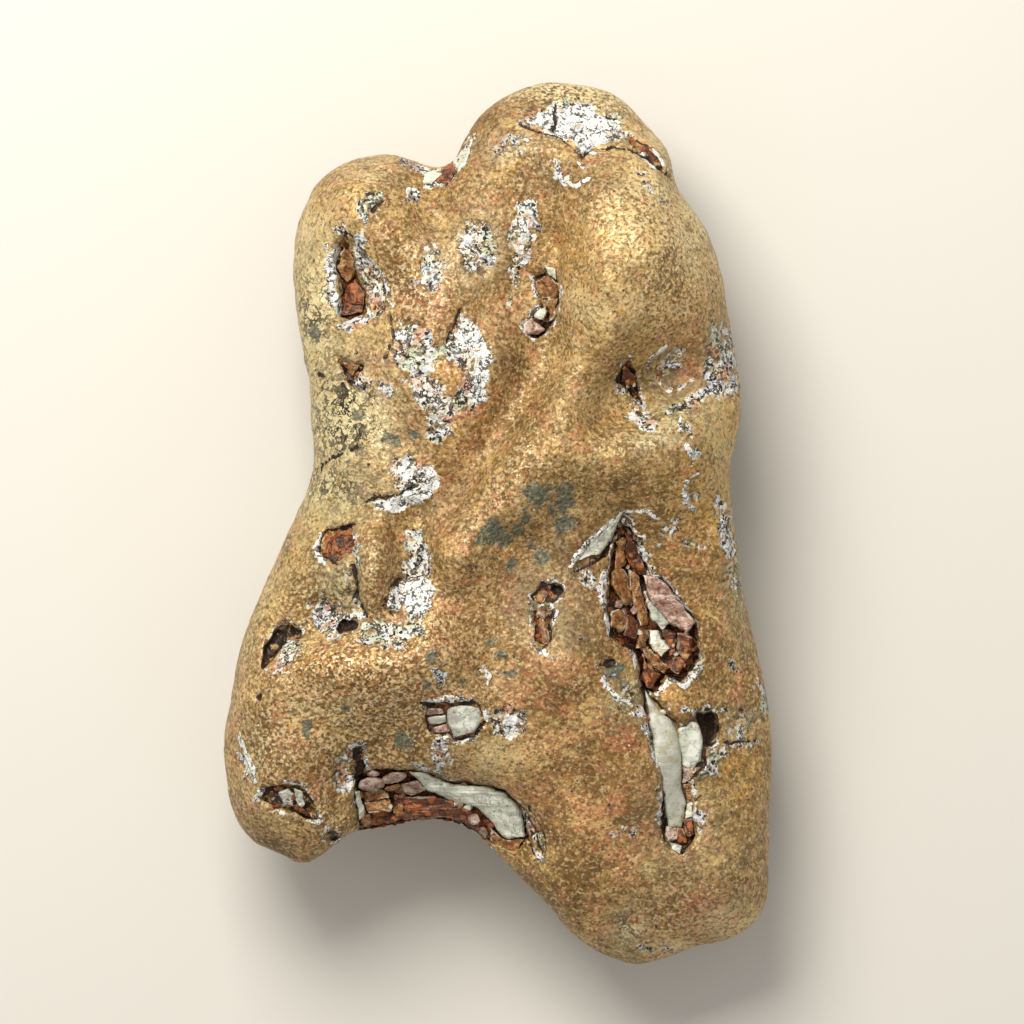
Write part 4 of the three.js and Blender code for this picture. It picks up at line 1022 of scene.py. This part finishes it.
# The blocks of each cavity: rock, outline, how far sunk, tilt along X and Y, and how rounded by wear.
BLOCKS = {
    "upper_pit_blocks": [
        (TAN, [(-15.4, 27.4), (-14.6, 26.4), (-14.4, 24.9), (-15.2, 23.9), (-16.1, 25.4)], 0.45, (0.2, 0.1),
         0.2),
        (RUST, [(-14.4, 24.2), (-13.5, 22.8), (-13.5, 21.6), (-14.9, 21.8), (-15.3, 23.4)], 0.6,
         (0.2, -0.1), 0.2),
        (RUST, [(-15.2, 21.8), (-13.6, 21.4), (-13.6, 20.8), (-15.7, 20.6)], 0.5, (-0.1, 0.2), 0.2),
    ],
    "waist_stones": [
        (MILK, oval(-13.5, 13.8, 0.75, 0.6, 60, 8), -0.3, (0.1, 0.2), 0.9),
        (GREEN, oval(-11.3, 13.1, 1, 0.5, -15, 8), -0.1, (0, 0.1), 0.9),
        (TAN, [(-16, 16.1), (-14, 15.6), (-14.6, 14.4)], 0.5, (0.2, 0.2), 0.3),
    ],
    "notch_chips": [
        (RUST, [(-6.3, 33.9), (-5, 33.8), (-4.2, 35), (-4.7, 36), (-5.6, 35.4)], 0.1, (0, 0), 0.3),
        (MILK, [(-4.6, 36.2), (-4, 35), (-3, 36.4), (-2.4, 38), (-3.4, 37.2)], 0.1, (0, 0), 0.3),
        (MILK, [(-7.6, 34.8), (-6.6, 35.2), (-5.9, 34.6), (-6.6, 33.6), (-7.5, 33.8)], 0.1, (-0.1, 0), 0.3),
    ],
    "groove_blocks": [
        (TAN, [(3.6, 24), (5, 24.5), (6, 23.6), (5.5, 22.4), (4.3, 22.2)], 0.25, (0.1, 0.15), 0.3),
        (MILK, [(4.6, 25.6), (5.5, 25.2), (5.7, 24.2), (4.9, 24.6)], 0, (0, 0.2), 0.3),
        (TAN, [(5, 22.1), (5.7, 22.2), (5.6, 20.6), (5.1, 19.9)], 0.2, (0.2, 0), 0.3),
        (PINK, [(2.3, 19.8), (3.4, 20.2), (4.4, 19.2), (3.8, 18.5), (2.5, 18.7)], 0.1, (0.1, -0.1), 0.3),
        (MILK, [(3.5, 21), (4.6, 21.3), (4.5, 20.1), (3.6, 20.2)], 0.2, (0, 0.1), 0.3),
    ],
    "three_cornered_pit_block": [
        (RUST, [(12.6, 15.4), (12.1, 14.1), (13.3, 13.2), (13.6, 14.4)], 0.5, (0.2, 0.2), 0.3),
    ],
    "main_cavity_blocks": [
        (GREEN, [(12, 0.3), (11.3, -1.5), (10.2, -2.9), (7.8, -4), (9.2, -1.7)], 0.15, (0.1, 0.1), 0.4),
        (RUST, [(12.6, -1.2), (13.5, -1.9), (14.6, -5), (13.6, -5.5), (12.8, -3.4)], 0.6, (-0.1, 0), 0.3),
        (TAN, [(11.7, -2), (12.4, -1.6), (12.7, -4.2), (11.6, -4.8)], 0.5, (0.1, -0.1), 0.3),
        (TAN, oval(12.3, -6.5, 1.9, 0.75, -72, 10), 0, (0, 0), 0.8),
        (TAN, [(13, -5.2), (13.7, -5.6), (14.6, -8.4), (14.8, -10.4), (14.1, -10.2), (13.3, -7.6)], 0.3,
         (-0.15, 0), 0.4),
        (PINK, [(14.4, -5.5), (15.9, -5.7), (17.6, -7.8), (19.3, -10), (18.6, -11), (17, -9.9), (15.4, -8)],
         -0.05, (0, 0), 0.3),
        (GREEN, [(14.6, -7), (15.3, -7.9), (16.9, -9.9), (16.3, -10.6), (15.3, -9.6)], 0.35, (-0.1, 0),
         0.4),
        (TAN, [(11.2, -9), (12.4, -8.8), (12.9, -9.8), (12.2, -10.8), (11.2, -10.4)], 0.4, (0, -0.1), 0.3),
        (RUST, [(12.9, -9.3), (13.8, -10), (13.5, -11.6), (12.5, -11.2)], 0.5, (0, -0.1), 0.3),
        (TAN, [(13.9, -10.6), (14.8, -11), (14.6, -12.4), (13.7, -12.6)], 0.4, (0.1, 0), 0.3),
        (MILK, [(15, -11), (15.8, -10.8), (16.9, -12.8), (16.2, -13.4), (15.2, -12.2)], 0.3, (0, 0.1), 0.4),
        (TAN, [(14.5, -12.7), (15.3, -12.9), (17, -14.6), (16.3, -15), (14.9, -14)], 0.5, (-0.1, 0.1), 0.3),
        (RUST, [(16.4, -10.8), (17.7, -11.2), (17.6, -13.2), (17, -13.4)], 0.8, (-0.15, 0.15), 0.2),
        (RUST, [(17.9, -11.1), (19.2, -11.6), (19.2, -13.2), (17.8, -13.4)], 0.7, (-0.15, 0.15), 0.2),
        (RUST, [(17.3, -13.7), (18.9, -13.6), (17.9, -15.2), (17.1, -14.8)], 0.6, (-0.1, 0.15), 0.2),
        (RUST, [(14.3, -13.2), (14.9, -14.4), (15.8, -15.2), (15.2, -16.6), (14.6, -16.4)], 0.4, (0.1, 0.1),
         0.2),
    ],
    "small_cavity_blocks": [
        (TAN, oval(4.4, -10.8, 1.3, 0.55, -80, 10), 0.3, (0.1, 0), 0.7),
        (TAN, [(3.4, -7.4), (4.3, -6.6), (4.9, -7.2), (4.4, -7.9), (3.6, -7.9)], 0.2, (0, 0.1), 0.5),
        (PINK, [(3.5, -9.2), (4.4, -8.7), (5, -9.1), (4.6, -9.6)], 0.3, (0, 0.1), 0.4),
    ],
    "slot_slabs": [
        (MILK, [(14.6, -17.1), (16, -18.8), (17.5, -20.6), (18, -22.4), (18.2, -25.4), (18.4, -28),
         (18.2, -30.2), (16.9, -30.2), (16.5, -26.8), (15.6, -23.4), (15, -19.6)], 0.35, (0, 0), 0.8),
        (GREEN, [(17.9, -20.9), (18.8, -20), (19.7, -20.2), (20.3, -21.8), (20.1, -23.8), (19.2, -24.6),
         (18.4, -24.2)], 0.4, (0.1, 0), 0.6),
    ],
    "slot_blocks": [
        (PINK, [(18.4, -24.5), (19.3, -24.4), (19.4, -25.6), (18.5, -25.9)], 0.2, (0.1, 0), 0.3),
        (TAN, [(18.6, -26.2), (19.4, -25.9), (19.3, -27.8), (18.7, -28)], 0.2, (0.1, 0.1), 0.3),
        (MILK, [(18.6, -28.2), (19.3, -28), (19.3, -29.4), (18.6, -29.6)], 0.2, (0, 0), 0.3),
        (RUST, [(18.5, -29.8), (19.3, -29.6), (19.4, -31.2), (18.6, -31.4)], 0.3, (0, 0.1), 0.3),
        (PINK, [(16.7, -30.4), (17.6, -30.4), (17.8, -31.6), (16.8, -31.8)], 0.3, (0, 0), 0.3),
        (RUST, [(17.7, -30.5), (18.4, -30.6), (18.6, -32), (17.9, -32.2)], 0.4, (0.1, 0), 0.3),
        (MILK, [(17, -31.9), (18.2, -32.3), (18, -33), (17.3, -32.7)], 0.2, (0, 0), 0.3),
    ],
    "slab_bed_blocks": [
        (GREEN, [(-5, -18.7), (-3.6, -18.3), (-2, -18.6), (-1.7, -19.8), (-2.6, -20.9), (-4.5, -21.3),
         (-5, -20.2)], 0.1, (0, -0.1), 0.6),
        (PINK, [(-7.2, -18.7), (-5.6, -18.5), (-5.3, -19), (-7, -19.3)], 0.2, (0, 0.1), 0.6),
        (MILK, [(-7, -19.5), (-5.3, -19.2), (-5.2, -19.9), (-6.8, -20.1)], 0.15, (0, 0.1), 0.6),
        (PINK, [(-6.7, -20.3), (-5.2, -20.1), (-4.9, -20.9), (-6.4, -21)], 0.2, (0, 0.1), 0.6),
    ],
    "foot_cavity_blocks": [
        (MILK, [(-21.9, -27), (-20.9, -26.6), (-20.3, -27.2), (-20.6, -28), (-21.6, -28.2)], 0.5, (0, 0.2),
         0.5),
        (GREEN, [(-20.3, -26.6), (-19.6, -26.8), (-19.3, -28.2), (-19.8, -28.6), (-20.2, -27.6)], 0.3,
         (0.2, 0.1), 0.5),
        (RUST, [(-22.9, -27.6), (-22, -27.4), (-21.8, -28.3), (-22.6, -28.5)], 0.8, (0.1, 0), 0.3),
        (RUST, [(-20.4, -28.2), (-19.6, -28.6), (-18.9, -29.2), (-20.2, -28.8)], 0.4, (0, 0.1), 0.3),
    ],
    "notch_slab": [
        (GREEN, [(-8.9, -24.9), (-6.8, -25.3), (-4.4, -26.3), (-1.6, -26.5), (0.6, -27.1), (2, -29),
         (2.4, -31.4), (0.8, -31.8), (-0.7, -30.2), (-2.2, -28.6), (-5.1, -27.6), (-7.2, -26.8)], 0.35,
         (0, 0), 0.7),
    ],
    "notch_blocks": [
        (PINK, oval(-12.7, -26.2, 1.2, 0.65, 10, 10), 0.15, (0, 0.1), 0.9),
        (PINK, oval(-10.5, -25.6, 1.15, 0.5, 12, 10), 0.15, (0.1, 0.1), 0.9),
        (PINK, oval(-12.5, -25.2, 0.7, 0.3, 15, 8), 0.15, (0, 0.1), 0.9),
        (TAN, oval(-10.6, -26.6, 0.9, 0.35, 10, 8), 0.3, (0, 0.1), 0.9),
        (GREEN, [(-14.3, -27), (-13.8, -26.9), (-13.5, -29.6), (-14, -29.8)], 0.5, (0, 0.1), 0.5),
        (TAN, [(-13.4, -27), (-11.6, -26.7), (-11, -27.6), (-13.2, -27.9)], 0.5, (0.1, 0.1), 0.2),
        (TAN, [(-13.3, -28), (-11, -27.8), (-10.6, -28.8), (-13.1, -29.2)], 0.7, (0.1, 0.1), 0.2),
        (PINK, [(-9.7, -26.3), (-8.2, -26), (-7.4, -26.8), (-8.8, -27.4), (-9.5, -27.1)], 0.5, (0, 0.2),
         0.6),
        (RUST, [(-10.4, -27.4), (-8.6, -27.7), (-6.6, -27.5), (-4.6, -28), (-2.8, -28.8), (-2.6, -30.2),
         (-5, -29.4), (-7.6, -29.8), (-10.2, -29.2)], 0.9, (0.05, 0.2), 0.3),
        (TAN, [(-0.9, -30.7), (0.8, -32), (2.4, -31.8), (1.6, -33), (-0.8, -32)], 0.7, (0, 0.2), 0.4),
    ],
}

# Small chips that fill a cavity between its blocks: cavity, how many, their largest half size, and how far
# sunk.
CHIPPED = {
    "upper left pit": (3, 0.35, 0.7), "three cornered pit": (5, 0.35, 0.5),
    "left waist pit": (4, 0.35, 0.5), "blocky pit": (6, 0.35, 0.4),
    "main cavity, upper arm": (16, 0.4, 0.8), "main cavity, body": (50, 0.5, 0.9),
    "small cavity": (7, 0.35, 0.4), "lower slot": (14, 0.35, 0.7), "foot cavity": (10, 0.4, 0.6),
    "bottom notch": (50, 0.6, 1.2), "slab bed": (3, 0.3, 0.4),
}
LOWEST_CHIP = 11.0
CHIP_WORN = 0.15
CHIP_ROCKS = [RUST, RUST, TAN, RUST, PINK, TAN, MILK]


def small_chips(chance):
    """Every small chip, each with five to seven corners, at random places in the cavities that hold them."""
    made = []
    for cavity, (count, size, sunk) in CHIPPED.items():
        outline = CAVITIES[cavity][0]
        xs, ys = zip(*outline)
        wanted = len(made) + count
        while len(made) < wanted:
            x, y = chance.uniform(min(xs), max(xs)), chance.uniform(min(ys), max(ys))
            half = size * chance.uniform(0.5, 1.0)
            inside = from_outline(outline, np.array([x]), np.array([y]))[0] < -half * 0.7
            if not inside or height_of(floor_below, x, y - half) < LOWEST_CHIP:
                continue
            wide, turn = half * chance.uniform(0.5, 0.9), chance.uniform(0, 180)
            shape = oval(x, y, half, wide, turn, chance.randint(5, 7))
            tilt = (chance.uniform(-0.4, 0.4), chance.uniform(-0.4, 0.4))
            made.append((chance.choice(CHIP_ROCKS), shape, sunk * chance.uniform(0.5, 1.1), tilt, CHIP_WORN))
    return made


chance = random.Random(8)
rock_materials = [rock_material(*rock) for rock in ROCKS]
for name, blocks in {**BLOCKS, "small_chips": small_chips(chance)}.items():
    made = [block(outline, sunk, tilt, worn, chance) for rock, outline, sunk, tilt, worn in blocks]
    starts = np.cumsum([0] + [len(corners) for corners, *_ in made])
    piece = mesh_piece(name, np.concatenate([corners for corners, *_ in made]),
                       np.concatenate([triangles + start for (_, triangles, *_), start in zip(made, starts)]),
                       rock_materials, False,
                       pale=np.concatenate([pale for _, _, pale, _ in made]),
                       tone=np.concatenate([tone for *_, tone in made]))
    rocks = np.repeat([rock for rock, *_ in blocks], [len(triangles) for _, triangles, *_ in made])
    piece.data.polygons.foreach_set("material_index", rocks)


# --- The studio -----------------------------------------------------------------------------------
# A plain pale table, one large soft lamp above the top of the nugget and left of it, and pale walls all
# round.

FLOOR_COLOUR = "#D9D8D4"
FLOOR_HALF = 9.0
WALL_COLOUR = "#EEE9E1"
WALL_LIGHT = 0.6
LAMP_AIM = 0, 0, 0.012

floor_mesh = bpy.data.meshes.new("floor")
corners = [(-FLOOR_HALF, -FLOOR_HALF, 0), (FLOOR_HALF, -FLOOR_HALF, 0), (FLOOR_HALF, FLOOR_HALF, 0),
           (-FLOOR_HALF, FLOOR_HALF, 0)]
floor_mesh.from_pydata(corners, [], [(0, 1, 2, 3)])
floor = bpy.data.objects.new("floor", floor_mesh)
bpy.context.scene.collection.objects.link(floor)
table_finish = bpy.data.materials.new("matt_table")
table_finish.use_nodes = True
table_shader = table_finish.node_tree.nodes["Principled BSDF"]
table_shader.inputs["Base Color"].default_value = linear(FLOOR_COLOUR)
table_shader.inputs["Roughness"].default_value = 0.85
floor_mesh.materials.append(table_finish)

world = bpy.data.worlds.new("studio")
bpy.context.scene.world = world
world.use_nodes = True
world.node_tree.nodes["Background"].inputs["Color"].default_value = linear(WALL_COLOUR)
world.node_tree.nodes["Background"].inputs["Strength"].default_value = WALL_LIGHT


def lamp(name, place, size, power, colour):
    """A soft square lamp that faces the nugget."""
    light = bpy.data.lights.new(name, "AREA")
    light.energy = power
    light.size = size
    light.color = linear(colour)[:3]
    made = bpy.data.objects.new(name, light)
    made.location = place
    made.rotation_euler = (Vector(LAMP_AIM) - Vector(place)).to_track_quat("-Z", "Y").to_euler()
    bpy.context.scene.collection.objects.link(made)


lamp("key_lamp", place=(-0.09, 0.21, 0.30), size=0.2, power=1.65, colour="#FFF8EC")

CAMERA_X, CAMERA_Y, CAMERA_HEIGHT = 0.0013, 0.00095, 1.22
FOCUS_HEIGHT = 0.016
VIEW_WIDTH = 0.1024

camera = bpy.data.cameras.new("camera")
camera.sensor_width = 36
camera.lens = camera.sensor_width * (CAMERA_HEIGHT - FOCUS_HEIGHT) / VIEW_WIDTH
camera.clip_end = 60
camera_place = bpy.data.objects.new("camera", camera)
camera_place.location = (CAMERA_X, CAMERA_Y, CAMERA_HEIGHT)
bpy.context.scene.collection.objects.link(camera_place)
bpy.context.scene.camera = camera_place
bpy.context.scene.view_settings.view_transform = "Standard"
